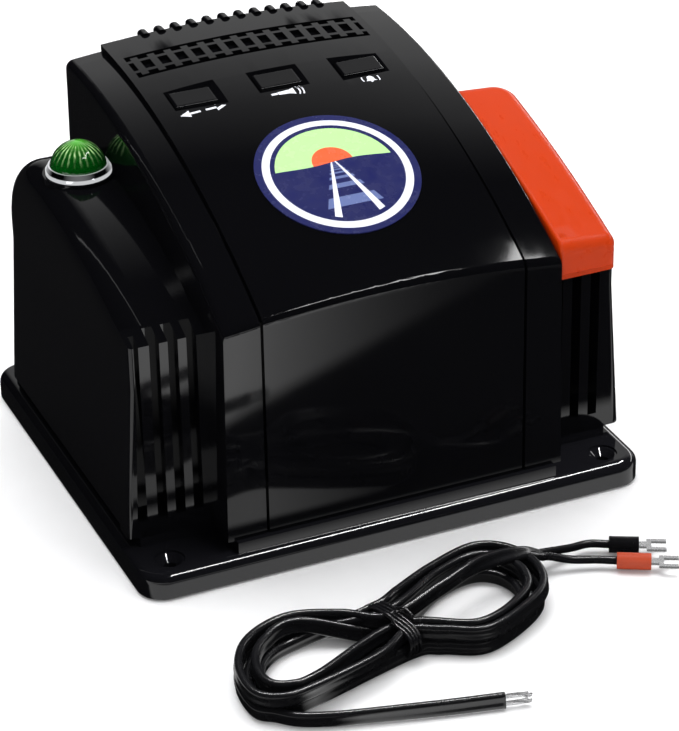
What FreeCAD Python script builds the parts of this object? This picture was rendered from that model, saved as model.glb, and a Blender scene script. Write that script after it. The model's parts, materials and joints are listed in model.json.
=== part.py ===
"""Train set controller: a hooded desk-top power pack with a side throttle lever.

Frame: +X to the right, +Y to the back, +Z up, millimetres.
The origin is the centre of the base plate's outline, on the plane the feet stand on.
"""
import FreeCAD, Part
import math
import os
import re
import Sketcher
from FreeCAD import Rotation, Vector

# Each row is an alias, a value (millimetres, degrees or a count) and what it measures.
DIMENSIONS = [
    ("base_length", 178.0, "base plate, left to right"),
    ("base_depth", 156.0, "base plate, front to back"),
    ("base_under", 0.8, "gap the feet leave under the plate"),
    ("base_top", 9.5, "top face of the plate"),
    ("base_corner", 9.0, "corner radius of the plate"),
    ("base_edge", 3.5, "rounding of the plate's top edge"),
    ("fix_side", 77.5, "fixing hole to the centre line"),
    ("fix_front", 68.5, "front fixing holes, ahead of the origin"),
    ("fix_rear", 73.0, "rear fixing holes, behind the origin"),
    ("fix_radius", 2.1, "fixing hole for a 4 mm wood screw"),
    ("fix_sink", 4.2, "countersink mouth radius"),
    ("plinth_top", 13.4, "top of the plinth that carries the cover"),
    ("plinth_side", 83.4, "plinth half length"),
    ("plinth_front", 58.2, "plinth front under the shoulders"),
    ("foot_side", 56.5, "half length of the step under the hood"),
    ("foot_front", 75.4, "front of the step under the hood"),
    ("hood_low_side", 59.2, "hood half width at the base"),
    ("hood_top_side", 57.5, "hood half width at the top"),
    ("hood_front", 73.5, "hood front face"),
    ("hood_back", 68.0, "rear wall"),
    ("hood_top", 130.0, "height at the rear edge"),
    ("crown_radius", 515.0, "sideways crown of the hood"),
    ("roof_radius", 280.5, "front to back radius of the centre panel"),
    ("roof_drop", 150.5, "depth of the roof's centre line below the origin"),
    ("strip_radius", 273.0, "front to back radius of the side strips"),
    ("strip_back", 62.0, "centre line of the side strips, behind the origin"),
    ("strip_drop", 145.4, "depth of the strips' centre line below the origin"),
    ("panel_side", 44.9, "centre panel half width"),
    ("panel_wall", 2.5, "centre panel thickness"),
    ("seat_side", 45.9, "half width of the rebate for the panel"),
    ("window_side", 41.5, "half width of the opening under the panel"),
    ("hood_wall", 5.0, "panel and ledge together"),
    ("side_wall", 2.8, "cover wall thickness"),
    ("shoulder_side", 86.5, "shoulder half width at the bottom"),
    ("shoulder_top_side", 83.0, "shoulder half width at the top"),
    ("shoulder_front", 57.5, "shoulder front face"),
    ("shoulder_radius", 226.0, "arc of the left shoulder's top"),
    ("shoulder_peak", 35.0, "high point of that arc, behind the origin"),
    ("shoulder_high", 101.0, "height of that arc"),
    ("grille_front", 58.5, "front of the ribs"),
    ("grille_depth", 6.5, "depth of the grille slots"),
    ("grille_wrap", 7.5, "length of the ribs round the side"),
    ("slot_width", 3.3, "grille slot width"),
    ("slot_pitch", 6.15, "grille slot spacing"),
    ("slot_first", 63.1, "innermost left slot to the centre line"),
    ("slot_pitch_right", 6.75, "grille slot spacing under the lever"),
    ("slot_first_right", 65.05, "innermost right slot to the centre line"),
    ("corner_slot_inner", 80.6, "corner slot of the left grille, inner side"),
    ("corner_slot_width", 1.6, "corner slot, width at the top"),
    ("slot_floor", 19.0, "bottom of the grille slots"),
    ("arm_slot_outer", 64.2, "lever slot, outer side"),
    ("arm_slot_floor", 28.0, "lever slot floor"),
    ("pivot_back", 8.0, "throttle pivot, behind the origin"),
    ("pivot_up", 40.0, "throttle pivot height"),
    ("drum_radius", 60.3, "right shoulder's rear arc about the pivot"),
    ("lever_inner", 58.8, "lever inner face"),
    ("lever_outer", 79.6, "lever outer face"),
    ("lever_front", 71.6, "lever front face"),
    ("lever_back", 9.5, "lever rear face"),
    ("lever_top_radius", 467.0, "front to back arc of the lever's top"),
    ("lever_top_back", 102.3, "centre line of that arc, behind the origin"),
    ("lever_top_drop", 339.6, "depth of that centre line below the origin"),
    ("lever_crown", 1030.0, "sideways crown of the lever's top"),
    ("lever_skin", 2.8, "lever wall"),
    ("arm_inner", 60.7, "lever arm, inner face"),
    ("arm_outer", 63.5, "lever arm, outer face"),
    ("hub_radius", 8.5, "lever hub"),
    ("shaft_radius", 3.0, "potentiometer shaft"),
    ("shaft_play", 0.05, "radial running clearance"),
    ("button_length", 15.0, "button cap, left to right"),
    ("button_width", 9.0, "button cap, front to back"),
    ("button_pitch", 29.9, "button spacing"),
    ("button_back", 20.7, "button centres, behind the origin"),
    ("badge_radius", 27.1, "round badge"),
    ("badge_front", 29.3, "badge centre, ahead of the origin"),
    ("badge_thick", 0.4, "badge thickness"),
    ("lamp_side", 67.7, "lamp, left of the origin"),
    ("lamp_back", 30.0, "lamp, behind the origin"),
    ("lamp_seat", 101.4, "top of the lamp's collar"),
    ("lamp_collar_radius", 12.0, "collar moulded on the shoulder"),
    ("post_pitch", 19.0, "terminal spacing"),
    ("post_first", -36.0, "leftmost terminal seen from the front"),
    ("post_up", 58.0, "terminal height"),
    ("post_radius", 2.0, "terminal stud, M4"),
    ("nut_radius", 6.0, "terminal nut"),
    ("nut_length", 12.0, "terminal nut"),
    ("core_width", 76.0, "transformer laminations, left to right"),
    ("core_height", 64.0, "transformer laminations, height"),
    ("core_stack", 38.0, "transformer laminations, front to back"),
    ("core_leg", 12.7, "outer leg of the laminations"),
    ("core_left", -42.0, "left side of the laminations"),
    ("core_front", -6.0, "front of the laminations"),
    ("core_floor", 16.0, "bottom of the laminations"),
    ("board_thick", 1.6, "circuit board thickness"),
    ("board_floor", 19.0, "underside of the main board"),
]

doc = FreeCAD.newDocument("TrainSetController")
sheet = doc.addObject("Spreadsheet::Sheet", "Dims")
for row, (alias, value, meaning) in enumerate(DIMENSIONS, start=1):
    sheet.set(f"A{row}", meaning)
    sheet.set(f"B{row}", str(value))
    sheet.setAlias(f"B{row}", alias)
doc.recompute()

ALIASES = {alias for alias, value, meaning in DIMENSIONS}
FACING = {
    "X": Rotation(Vector(0, 1, 0), 90),
    "Y": Rotation(Vector(1, 0, 0), -90),
    "Z": Rotation(),
}
STRAP_SCREWS = (-48.5, 40.5)
sub_parts = []


# ---------------------------------------------------------------- drawing helpers

def size(alias):
    """A dimension's value, for shapes that are worked out in this script."""
    return float(sheet.get(alias))


def formula(text):
    """Turn the aliases of a formula into references to the sheet."""
    def reference(word):
        name = word.group()
        return "Dims." + name if name in ALIASES else name
    return re.sub(r"[a-z]\w*", reference, str(text))


def bind(item, **formulas):
    """Drive properties of an object from the sheet."""
    for name, text in formulas.items():
        item.setExpression(name, formula(text))


def place(item, position, facing="Z"):
    """Put an object at a position given as three formulas."""
    item.Placement = FreeCAD.Placement(Vector(), FACING[facing])
    for axis, text in zip("xyz", position):
        item.setExpression(f"Placement.Base.{axis}", formula(text))


def box(name, length, width, height, position):
    """A block with its low corner at the position."""
    item = doc.addObject("Part::Box", name)
    bind(item, Length=length, Width=width, Height=height)
    place(item, position)
    return item


def cylinder(name, radius, height, position, facing="Z"):
    """A round bar from the position along an axis."""
    item = doc.addObject("Part::Cylinder", name)
    bind(item, Radius=radius, Height=height)
    place(item, position, facing)
    return item


def cone(name, low_radius, high_radius, height, position, facing="Z"):
    """A tapered bar from the position along an axis."""
    item = doc.addObject("Part::Cone", name)
    bind(item, Radius1=low_radius, Radius2=high_radius, Height=height)
    place(item, position, facing)
    return item


def hexagon(name, across_corners, height, position, facing="Z"):
    """A hexagonal bar from the position along an axis."""
    item = doc.addObject("Part::Prism", name)
    item.Polygon = 6
    bind(item, Circumradius=f"{across_corners} / 2", Height=height)
    place(item, position, facing)
    return item


def fuse(name, *shapes):
    """One solid, or one group of solids, from several."""
    item = doc.addObject("Part::MultiFuse", name)
    item.Shapes = list(shapes)
    return item


def common(name, *shapes):
    """What several solids share."""
    item = doc.addObject("Part::MultiCommon", name)
    item.Shapes = list(shapes)
    return item


def cut(name, base, *tools):
    """A solid less its tools."""
    item = doc.addObject("Part::Cut", name)
    item.Base = base
    item.Tool = tools[0] if len(tools) == 1 else fuse(name + "_cuts", *tools)
    return item


def round_edges(name, base, *choices):
    """Round the edges whose middle satisfies a test; each choice is a radius and a test."""
    doc.recompute()
    item = doc.addObject("Part::Fillet", name)
    item.Base = base
    picked = []
    for radius, test in choices:
        for index, edge in enumerate(base.Shape.Edges, start=1):
            if test(edge.CenterOfMass, edge):
                picked.append((index, radius, radius))
    item.Edges = picked
    return item


def attach(sketch, body, role, **offsets):
    """Lay a sketch on one of its body's origin planes, moved by formulas in its own axes."""
    plane = next(item for item in body.Origin.OriginFeatures if item.Role == role)
    sketch.AttachmentSupport = [(plane, "")]
    sketch.MapMode = "FlatFace"
    for axis, text in offsets.items():
        sketch.setExpression(f"AttachmentOffset.Base.{axis}", formula(text))


def outline(body, name, role, corners, start):
    """A closed polygon whose corners are held by two dimensions each."""
    sketch = body.newObject("Sketcher::SketchObject", name)
    attach(sketch, body, role, z=start)
    count = len(corners)
    turns = [2 * math.pi * index / count for index in range(count)]
    points = [Vector(10 * math.cos(turn), 10 * math.sin(turn), 0) for turn in turns]
    for index in range(count):
        sketch.addGeometry(Part.LineSegment(points[index], points[(index + 1) % count]))
    for index in range(count):
        sketch.addConstraint(Sketcher.Constraint("Coincident", index, 2, (index + 1) % count, 1))
    for index, (across, up) in enumerate(corners):
        for kind, text, value in (
            ("DistanceX", across, points[index].x),
            ("DistanceY", up, points[index].y),
        ):
            number = sketch.addConstraint(Sketcher.Constraint(kind, -1, 1, index, 1, value))
            sketch.setExpression(f"Constraints[{number}]", formula(text))
    return sketch


def prism(name, role, corners, start, length):
    """A body padded from a polygon. The XY plane pads up, YZ to the right, XZ to the front."""
    body = doc.addObject("PartDesign::Body", name)
    pad = body.newObject("PartDesign::Pad", name + "_pad")
    pad.Profile = outline(body, name + "_outline", role, corners, start)
    bind(pad, Length=length)
    body.Tip = pad
    return body


def barrel(name, radius, back, drop, bulge="crown_radius"):
    """A crowned barrel turned about an axis along X, behind and below the origin."""
    half = 95.0
    crown = size(bulge)
    sketch_radius = 270.0
    body = doc.addObject("PartDesign::Body", name)
    sketch = body.newObject("Sketcher::SketchObject", name + "_outline")
    attach(sketch, body, "XZ_Plane", z=f"-({back})", y=f"-({drop})")
    lean = math.asin(half / crown)
    circle = Part.Circle(Vector(0, sketch_radius - crown, 0), Vector(0, 0, 1), crown)
    arc = Part.ArcOfCircle(circle, math.pi / 2 - lean, math.pi / 2 + lean)
    low_right = Vector(half, 0, 0)
    low_left = Vector(-half, 0, 0)
    sketch.addGeometry(arc)
    sketch.addGeometry(Part.LineSegment(arc.StartPoint, low_right))
    sketch.addGeometry(Part.LineSegment(low_right, low_left))
    sketch.addGeometry(Part.LineSegment(low_left, arc.EndPoint))
    for joint in ((0, 1, 1, 1), (1, 2, 2, 1), (2, 2, 3, 1), (3, 2, 0, 2)):
        sketch.addConstraint(Sketcher.Constraint("Coincident", *joint))
    sketch.addConstraint(Sketcher.Constraint("Vertical", 1))
    sketch.addConstraint(Sketcher.Constraint("Vertical", 3))
    sketch.addConstraint(Sketcher.Constraint("DistanceX", -1, 1, 2, 1, half))
    sketch.addConstraint(Sketcher.Constraint("DistanceY", -1, 1, 2, 1, 0))
    sketch.addConstraint(Sketcher.Constraint("DistanceX", -1, 1, 2, 2, -half))
    sketch.addConstraint(Sketcher.Constraint("DistanceY", -1, 1, 2, 2, 0))
    sketch.addConstraint(Sketcher.Constraint("DistanceX", -1, 1, 0, 3, 0))
    bend = sketch.addConstraint(Sketcher.Constraint("Radius", 0, crown))
    sketch.setExpression(f"Constraints[{bend}]", formula(bulge))
    rise = sketch.addConstraint(
        Sketcher.Constraint("DistanceY", -1, 1, 0, 3, sketch_radius - crown)
    )
    sketch.setExpression(f"Constraints[{rise}]", formula(f"({radius}) - {bulge}"))
    turned = body.newObject("PartDesign::Revolution", name + "_turned")
    turned.Profile = sketch
    turned.ReferenceAxis = (sketch, ["H_Axis"])
    turned.Angle = 360
    body.Tip = turned
    return body


def keep(item, label=None):
    """Mark an object as a sub-part, which gets a file of its own."""
    if label:
        item.Label = label
    sub_parts.append(item)
    return item


def solid_feature(name, shape):
    """A sub-part whose shape is worked out from the sheet by this script."""
    item = doc.addObject("Part::Feature", name)
    item.Shape = shape
    return keep(item)


# ---------------------------------------------------------------- base

def base_plate():
    """The moulded tray: a rounded plate, a plinth for the cover and the holes through both."""
    body = doc.addObject("PartDesign::Body", "tray")
    corners = [
        ("-base_length / 2", "-base_depth / 2"),
        ("base_length / 2", "-base_depth / 2"),
        ("base_length / 2", "base_depth / 2"),
        ("-base_length / 2", "base_depth / 2"),
    ]
    pad = body.newObject("PartDesign::Pad", "tray_pad")
    pad.Profile = outline(body, "tray_outline", "XY_Plane", corners, "base_under")
    bind(pad, Length="base_top - base_under")
    doc.recompute()
    upright = [
        f"Edge{index}"
        for index, edge in enumerate(pad.Shape.Edges, start=1)
        if abs(edge.tangentAt(edge.FirstParameter).z) > 0.9
    ]
    corner = body.newObject("PartDesign::Fillet", "tray_corners")
    corner.Base = (pad, upright)
    bind(corner, Radius="base_corner")
    doc.recompute()
    top = [
        f"Edge{index}"
        for index, edge in enumerate(corner.Shape.Edges, start=1)
        if edge.BoundBox.ZMin > size("base_top") - 0.01
    ]
    rim = body.newObject("PartDesign::Fillet", "tray_rim")
    rim.Base = (corner, top)
    bind(rim, Radius="base_edge")
    body.Tip = rim

    height = "plinth_top - base_under"
    plinth = box(
        "plinth", "2 * plinth_side", "plinth_front + hood_back", height,
        ("-plinth_side", "-plinth_front", "base_under"),
    )
    step = box(
        "hood_step", "2 * foot_side", "foot_front", height,
        ("-foot_side", "-foot_front", "base_under"),
    )
    post = cylinder("centre_post", 8, 12, (0, 0, 0))
    tools = [cut("tray_hollow", box("tray_space", 122, 104, 9.2, (-61, -46, 0)), post)]
    tools.append(cylinder("centre_foot_recess", 6.6, 2.5, (0, 0, 0.5)))
    for side in (-1, 1):
        for row, depth in (("front", "-fix_front"), ("rear", "fix_rear")):
            spot = f"{row}_{'left' if side < 0 else 'right'}"
            at = (f"{side} * fix_side", depth)
            tools.append(cylinder(f"fix_hole_{spot}", "fix_radius", 12, (*at, 0)))
            tools.append(cone(
                f"fix_sink_{spot}", "fix_radius", "fix_sink", "fix_sink - fix_radius",
                (*at, "base_top - 0.6 - fix_sink + fix_radius"),
            ))
            tools.append(cylinder(f"fix_pocket_{spot}", "fix_sink + 0.8", 2, (*at, "base_top - 0.6")))
        for row, depth in (("front", -64), ("rear", 69)):
            name = f"foot_recess_{row}_{side}"
            tools.append(cylinder(name, 6.6, 2.5, (58 * side, depth, "base_under - 0.3")))
        for row, depth in (("front", -40), ("rear", 55)):
            tools.append(cylinder(f"screw_way_{row}_{side}", 1.9, 20, (77.5 * side, depth, 0)))
            tools.append(cylinder(f"screw_sink_{row}_{side}", 3.6, 4, (77.5 * side, depth, 0)))
    for x in (-36, -24, -12, 12, 24, 36):
        tools.append(box(f"air_slot_{x}", 3, 44, 20, (x - 1.5, -14, 0)))
    for x in STRAP_SCREWS:
        tools.append(cylinder(f"strap_way_{x}", 2.05, 6, (x, "core_front + 19", 8.5)))
    bosses = [
        cylinder(f"board_post_{x}_{y}", 3.5, "board_floor - base_top", (x, y, "base_top"))
        for x in (-46, 46) for y in (-62, -28)
    ]
    solid = fuse("tray_solid", body, plinth, step, *bosses)
    keep(cut("base_plate", solid, *tools))


def base_fittings():
    """Feet under the tray and the screws that hold the cover to it."""
    feet = [
        cylinder(f"foot_{x}_{y}", 6.5, 3, (x, y, 0))
        for x, y in ((0, 0), (-58, -64), (58, -64), (-58, 69), (58, 69))
    ]
    keep(fuse("rubber_feet", *feet))
    screws = []
    for x in (-77.5, 77.5):
        for y in (-40, 55):
            head = cylinder(f"case_head_{x}_{y}", 3.4, 2.4, (x, y, 1.5))
            shank = cylinder(f"case_shank_{x}_{y}", 1.8, 26, (x, y, 3.9))
            drive = hexagon(f"case_drive_{x}_{y}", 3, 1.5, (x, y, 1))
            screws.append(cut(f"case_screw_{x}_{y}", fuse(f"case_pin_{x}_{y}", head, shank), drive))
    keep(fuse("case_screws", *screws))


# ---------------------------------------------------------------- cover

def hood_section(name, inset, bottom, front, length):
    """The hood's tapered cross-section, as a prism from a rear limit towards the front."""
    corners = [
        (f"-hood_low_side + {inset}", bottom),
        (f"hood_low_side - {inset}", bottom),
        (f"hood_top_side - {inset}", "hood_top + 5"),
        (f"-hood_top_side + {inset}", "hood_top + 5"),
    ]
    return prism(name, "XZ_Plane", corners, front, length)


def shoulder_section(name, side, inner, outset, start, length):
    """A shoulder's drafted cross-section, as a prism from a rear limit towards the front."""
    corners = [
        (f"{side} * {inner}", "plinth_top"),
        (f"{side} * (shoulder_side + {outset})", "plinth_top"),
        (f"{side} * (shoulder_top_side + {outset})", 66),
        (f"{side} * (shoulder_top_side + {outset})", 112),
        (f"{side} * {inner}", 112),
    ]
    return prism(name, "XZ_Plane", corners, start, length)


def drum_profile(name, front, start, length):
    """The right shoulder's slope, tangent to the drum that the lever swings round."""
    tangent = 117.9
    corners = [
        (f"-{front}", "plinth_top"),
        ("hood_back", "plinth_top"),
        ("hood_back", "pivot_up + 5.5"),
        ("pivot_back", "pivot_up + 0.8 * drum_radius"),
        (f"pivot_back + drum_radius * cos({tangent})", f"pivot_up + drum_radius * sin({tangent})"),
        (f"-{front}", 73.5),
    ]
    return prism(name, "YZ_Plane", corners, start, length)


def left_shoulder():
    """The tall shoulder that carries the lamp."""
    block = shoulder_section("left_block", -1, 50, 0, "-hood_back", "hood_back + shoulder_front")
    arc = cylinder(
        "left_arc", "shoulder_radius", 60, (-100, "shoulder_peak", "shoulder_high - shoulder_radius"), "X"
    )
    shape = common("left_shape", block, arc)
    back = size("hood_back")
    rounded = round_edges(
        "left_back_round", shape,
        (28, lambda middle, edge: middle.y > back - 0.1 and middle.z > 60 and edge.BoundBox.ZLength < 3),
    )
    side = size("shoulder_top_side")
    return round_edges(
        "left_shoulder_round", rounded,
        (9, lambda middle, edge: middle.x < -side + 0.5 and middle.z > 75 and edge.BoundBox.YLength > 4),
    )


def right_shoulder():
    """The low shoulder under the lever, slotted for the lever's arm."""
    block = shoulder_section("right_block", 1, 50, 0, "-hood_back", "hood_back + shoulder_front")
    slope = drum_profile("right_slope", "shoulder_front", 45, 50)
    drum = cylinder("right_drum", "drum_radius", 50, (45, "pivot_back", "pivot_up"), "X")
    keel = box("right_keel", 60, 150, 120, (40, -80, "plinth_top"))
    shape = common("right_shape", block, fuse("right_profile", slope, drum), keel)
    side = size("shoulder_top_side")
    rounded = round_edges(
        "right_shoulder_round", shape,
        (4, lambda middle, edge: middle.x > side - 0.5 and middle.z > 72 and edge.BoundBox.YLength > 20),
    )
    slot = box(
        "arm_slot", "arm_slot_outer - 45", 111, 100, (45, -49, "arm_slot_floor")
    )
    return cut("right_shoulder", rounded, slot)


def grille_blocks():
    """The raised rib blocks that wrap the front corner of each shoulder."""
    depth = "grille_wrap"
    start = "grille_front - grille_wrap"
    left_block = shoulder_section("left_grille_block", -1, 57, 1, start, depth)
    left_arc = cylinder(
        "left_grille_arc", "shoulder_radius + 0.5", 60,
        (-100, "shoulder_peak", "shoulder_high - shoulder_radius"), "X",
    )
    left = common("left_grille_shape", left_block, left_arc)
    right_block = shoulder_section("right_grille_block", 1, 57, 2.9, start, depth)
    right_slope = drum_profile("right_grille_slope", "grille_front", 45, 50)
    right = common("right_grille_shape", right_block, right_slope)
    blocks = []
    for name, shape, side, radius in (("left_grille", left, -1, 1.5), ("right_grille", right, 1, 3)):
        blocks.append(round_edges(
            name, shape,
            (radius, lambda middle, edge, side=side: side * middle.x > 83.5 and middle.y < -57
             and edge.BoundBox.ZLength > 5),
        ))
    return blocks


def grille_slots():
    """Three slots in each rib block, open at the top, and a narrow one in the left corner."""
    slots = []
    for side, first, pitch in (
        (-1, "slot_first", "slot_pitch"),
        (1, "slot_first_right", "slot_pitch_right"),
    ):
        for number in range(3):
            low = f"{side} * ({first} + {number} * {pitch}) - slot_width / 2"
            slots.append(box(
                f"grille_slot_{side}_{number}", "slot_width", "grille_depth + 2", 100,
                (low, "-grille_front - 2", "slot_floor"),
            ))
    slots.append(prism(
        "grille_corner_slot", "XZ_Plane",
        [
            ("-corner_slot_inner", "slot_floor"),
            ("-corner_slot_inner", 110),
            ("-corner_slot_inner - corner_slot_width", 110),
            ("-corner_slot_inner - corner_slot_width", 66),
            ("-corner_slot_inner - corner_slot_width - 1.8", "slot_floor"),
        ],
        "grille_front - 4.5", 8,
    ))
    return slots


def shoulder_hollows():
    """The space inside each shoulder."""
    left = prism(
        "left_hollow_section", "XZ_Plane",
        [(-52, 0), (-80.4, 0), (-80.2, 86), (-73, 99), (-52, 99)],
        "-hood_back + side_wall", 114,
    )
    left_arc = cylinder(
        "left_hollow_arc", "shoulder_radius - side_wall", 60,
        (-100, "shoulder_peak", "shoulder_high - shoulder_radius"), "X",
    )
    left_side = prism(
        "left_hollow_side", "YZ_Plane",
        [(-60, -5), (66, -5), (66, 70), (48, 96), (40, 110), (-60, 110)], -100, 60,
    )
    right = prism(
        "right_hollow_section", "XZ_Plane",
        [(66.8, 0), (80.4, 0), (80.2, 80), (76, 95), (66.8, 95)],
        "-hood_back + side_wall", 111,
    )
    right_side = prism(
        "right_hollow_side", "YZ_Plane",
        [(-60, -5), (66, -5), (66, 38), (52, 72), (8, 96), (-19, 89.5), (-60, 68.5)], 60, 40,
    )
    return [
        common("left_hollow", left, left_arc, left_side),
        common("right_hollow", right, right_side),
    ]


def main_shell():
    """The cover: two roof strips, both shoulders, the grilles and the rear wall."""
    block = hood_section("strip_block", 0, "plinth_top", "-hood_back", "hood_back + hood_front")
    roof = barrel("strip_barrel", "strip_radius", "strip_back", "strip_drop")
    strips = round_edges(
        "strips", common("strip_shape", block, roof),
        (3, lambda middle, edge: middle.x < -56 and middle.z > 88 and edge.BoundBox.YLength > 60),
        (0.6, lambda middle, edge: middle.x > 56 and middle.z > 88 and edge.BoundBox.YLength > 60),
        (3.6, lambda middle, edge: middle.y < -size("hood_front") + 0.1 and middle.z > 80),
    )
    collar = cylinder(
        "lamp_collar", "lamp_collar_radius", 12, ("-lamp_side", "lamp_back", "lamp_seat - 12")
    )
    cover = fuse("cover", strips, left_shoulder(), right_shoulder(), collar, *grille_blocks())

    inner_block = hood_section(
        "hollow_block", "side_wall", 0,
        "-hood_back + side_wall", "hood_back - side_wall + hood_front - hood_wall",
    )
    inner_roof = barrel("hollow_barrel", "roof_radius - hood_wall", "hood_back", "roof_drop")
    hollow = common("hood_hollow", inner_block, inner_roof)

    rebate_block = box("rebate_block", "2 * seat_side", 150, 150, ("-seat_side", "-hood_front - 2", 0))
    ledge_block = box(
        "ledge_block", 120, "hood_front - panel_wall + 80", 150,
        (-60, "-hood_front + panel_wall", 0),
    )
    ledge_roof = barrel("ledge_barrel", "roof_radius - panel_wall", "hood_back", "roof_drop")
    rebate = cut("rebate", rebate_block, common("ledge", ledge_block, ledge_roof))
    window = box(
        "window", "2 * window_side", "hood_front + hood_back - 8", 140,
        ("-window_side", "-hood_front - 2", 0),
    )
    lamp_way = cylinder("lamp_way", 8.6, 40, ("-lamp_side", "lamp_back", 75))
    lamp_scallop = cylinder("lamp_scallop", 11.25, 3.3, ("-lamp_side", "lamp_back", "lamp_seat"))
    bush_way = cylinder("bush_way", 4.7, 10, (53, "pivot_back", "pivot_up"), "X")
    rear_window = box("rear_window", 100, 10, 54, (-50, 62, 24))
    bosses = []
    ways = []
    for x in (-77.5, 77.5):
        for y in (-40, 55):
            bosses.append(cylinder(f"case_boss_{x}_{y}", 4.6, 26, (x, y, "plinth_top")))
            ways.append(cylinder(f"case_way_{x}_{y}", 1.85, 20, (x, y, "plinth_top")))
    hollows = [hollow, rebate, window, lamp_way, lamp_scallop, bush_way, rear_window]
    hollows += shoulder_hollows() + grille_slots()
    bare = cut("bare_cover", cover, *hollows)
    keep(cut("main_shell", fuse("bossed_cover", bare, *bosses), *ways))


# ---------------------------------------------------------------- centre panel

def crown_drop(x):
    """How far the crown has fallen away beside the middle of the roof."""
    return x ** 2 / (2 * size("crown_radius"))


def roof_frame(x, y):
    """A frame on the centre panel's surface, its third axis along the outward slope."""
    ahead = size("hood_back") - y
    radius = size("roof_radius")
    height = math.sqrt(radius ** 2 - ahead ** 2) - size("roof_drop")
    height -= crown_drop(x)
    tilt = math.degrees(math.asin(ahead / radius))
    return FreeCAD.Placement(Vector(x, y, height), Rotation(Vector(1, 0, 0), tilt))


def tilted_box(name, length, width, low, high, x, y):
    """A block centred on a roof point, between two heights above the surface."""
    item = doc.addObject("Part::Box", name)
    bind(item, Length=length, Width=width, Height=high - low)
    doc.recompute()
    corner = Vector(-item.Length.Value / 2, -item.Width.Value / 2, low)
    item.Placement = roof_frame(x, y) * FreeCAD.Placement(corner, Rotation())
    return item


def tilted_cylinder(name, radius, low, high, x, y):
    """A round bar on a roof point, between two heights above the surface."""
    item = doc.addObject("Part::Cylinder", name)
    bind(item, Radius=radius, Height=high - low)
    item.Placement = roof_frame(x, y) * FreeCAD.Placement(Vector(0, 0, low), Rotation())
    return item


def button_places():
    """The three button names, each with its distance to the right of the origin."""
    pitch = size("button_pitch")
    return (("direction", -pitch), ("horn", 0.0), ("bell", pitch))


def bevel_recess(name, x, y):
    """A shallow bevelled mouth round a button."""
    frame = roof_frame(x, y)
    levels = []
    for height, wider, deeper, shift in ((-1.4, 0.3, 0.3, 0), (0.9, 5.0, 7.4, -1.4)):
        half_length = (size("button_length") + wider) / 2
        half_width = (size("button_width") + deeper) / 2
        corners = [
            Vector(half_length * across, half_width * along + shift, height)
            for across, along in ((-1, -1), (1, -1), (1, 1), (-1, 1), (-1, -1))
        ]
        levels.append(Part.makePolygon([frame.multVec(corner) for corner in corners]))
    item = doc.addObject("Part::Feature", name)
    item.Shape = Part.makeLoft(levels, True, True)
    return item


def track_relief():
    """A shallow well with a raised length of plain railway track lying across the panel."""
    length, width, depth = 84.0, 15.4, 1.6
    sleepers, sleeper_width, sleeper_length = 14, 2.5, 12.4
    gauge, rail_width = 7.2, 1.5
    middle = 46.0
    floor = barrel("relief_floor", f"roof_radius - {depth}", "hood_back", "roof_drop")
    well = box("relief_well", length, width, 60, (-length / 2, middle - width / 2, 90))
    raised = []
    for number in range(sleepers):
        x = (number + 0.5) * length / sleepers - length / 2
        raised.append(box(
            f"sleeper_{number}", sleeper_width, sleeper_length, 60,
            (x - sleeper_width / 2, middle - sleeper_length / 2, 90),
        ))
    for side in (-1, 1):
        raised.append(box(
            f"rail_{side}", length + 2, rail_width, 60,
            (-length / 2 - 1, middle + side * gauge / 2 - rail_width / 2, 90),
        ))
    return cut("relief", cut("relief_space", well, floor), *raised)


def rear_ribs():
    """A row of cooling ribs behind the panel's rear edge."""
    count, pitch, width, centre = 12, 5.85, 3.4, 3.0
    ribs = []
    for number in range(count):
        x = centre + pitch * (number - (count - 1) / 2)
        top = size("hood_top") + 0.9 - crown_drop(x)
        rib = box(f"rib_block_{number}", width, 5.4, 19, (x - width / 2, "hood_back - 2", top - 19))
        ribs.append(round_edges(
            f"rib_{number}", rib,
            (1.5, lambda middle, edge, top=top: middle.z > top - 0.1 and edge.BoundBox.YLength > 5),
            (1.5, lambda middle, edge: middle.y > size("hood_back") + 3.3),
        ))
    return ribs


def centre_panel():
    """The curved middle panel with the button mouths, the relief and the rear ribs."""
    block = box(
        "panel_block", "2 * panel_side", "hood_front + hood_back", 150,
        ("-panel_side", "-hood_front", "plinth_top"),
    )
    roof = barrel("panel_barrel", "roof_radius", "hood_back", "roof_drop")
    rounded = round_edges(
        "panel_round", common("panel_shape", block, roof),
        (3.6, lambda middle, edge: middle.y < -size("hood_front") + 0.1 and middle.z > 80),
    )
    inner_block = box("panel_inner_block", 120, 170, 170, (-60, "-hood_front + panel_wall", -5))
    inner_roof = barrel("panel_inner_barrel", "roof_radius - panel_wall", "hood_back", "roof_drop")
    inner = common("panel_inner", inner_block, inner_roof)
    bosses = [
        tilted_cylinder(f"board_boss_{x}", 2.5, -13.2 + crown_drop(x), -2.0, x, size("button_back"))
        for x in (-15, 15)
    ]
    solid = fuse("panel_solid", cut("panel_skin", rounded, inner), *rear_ribs(), *bosses)
    trim_block = box("rib_trim_block", 120, 8.05, 170, (-60, "hood_back - 8", -5))
    tools = [track_relief(), common("rib_trim", trim_block, inner_roof)]
    for name, x in button_places():
        y = size("button_back")
        tools.append(tilted_box(
            f"{name}_way", "button_length + 0.4", "button_width + 0.4", -4, 3, x, y
        ))
        tools.append(bevel_recess(f"{name}_mouth", x, y))
    keep(cut("centre_panel", solid, *tools))


def badge():
    """The round badge, a thin disc that follows the crowned surface."""
    disc = tilted_cylinder("badge_bar", "badge_radius", -6, 6, 0, -size("badge_front"))
    outer = barrel("badge_outer", "roof_radius + badge_thick", "hood_back", "roof_drop")
    inner = barrel("badge_inner", "roof_radius", "hood_back", "roof_drop")
    keep(cut("badge_disc", common("badge_stack", disc, outer), inner))


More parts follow.
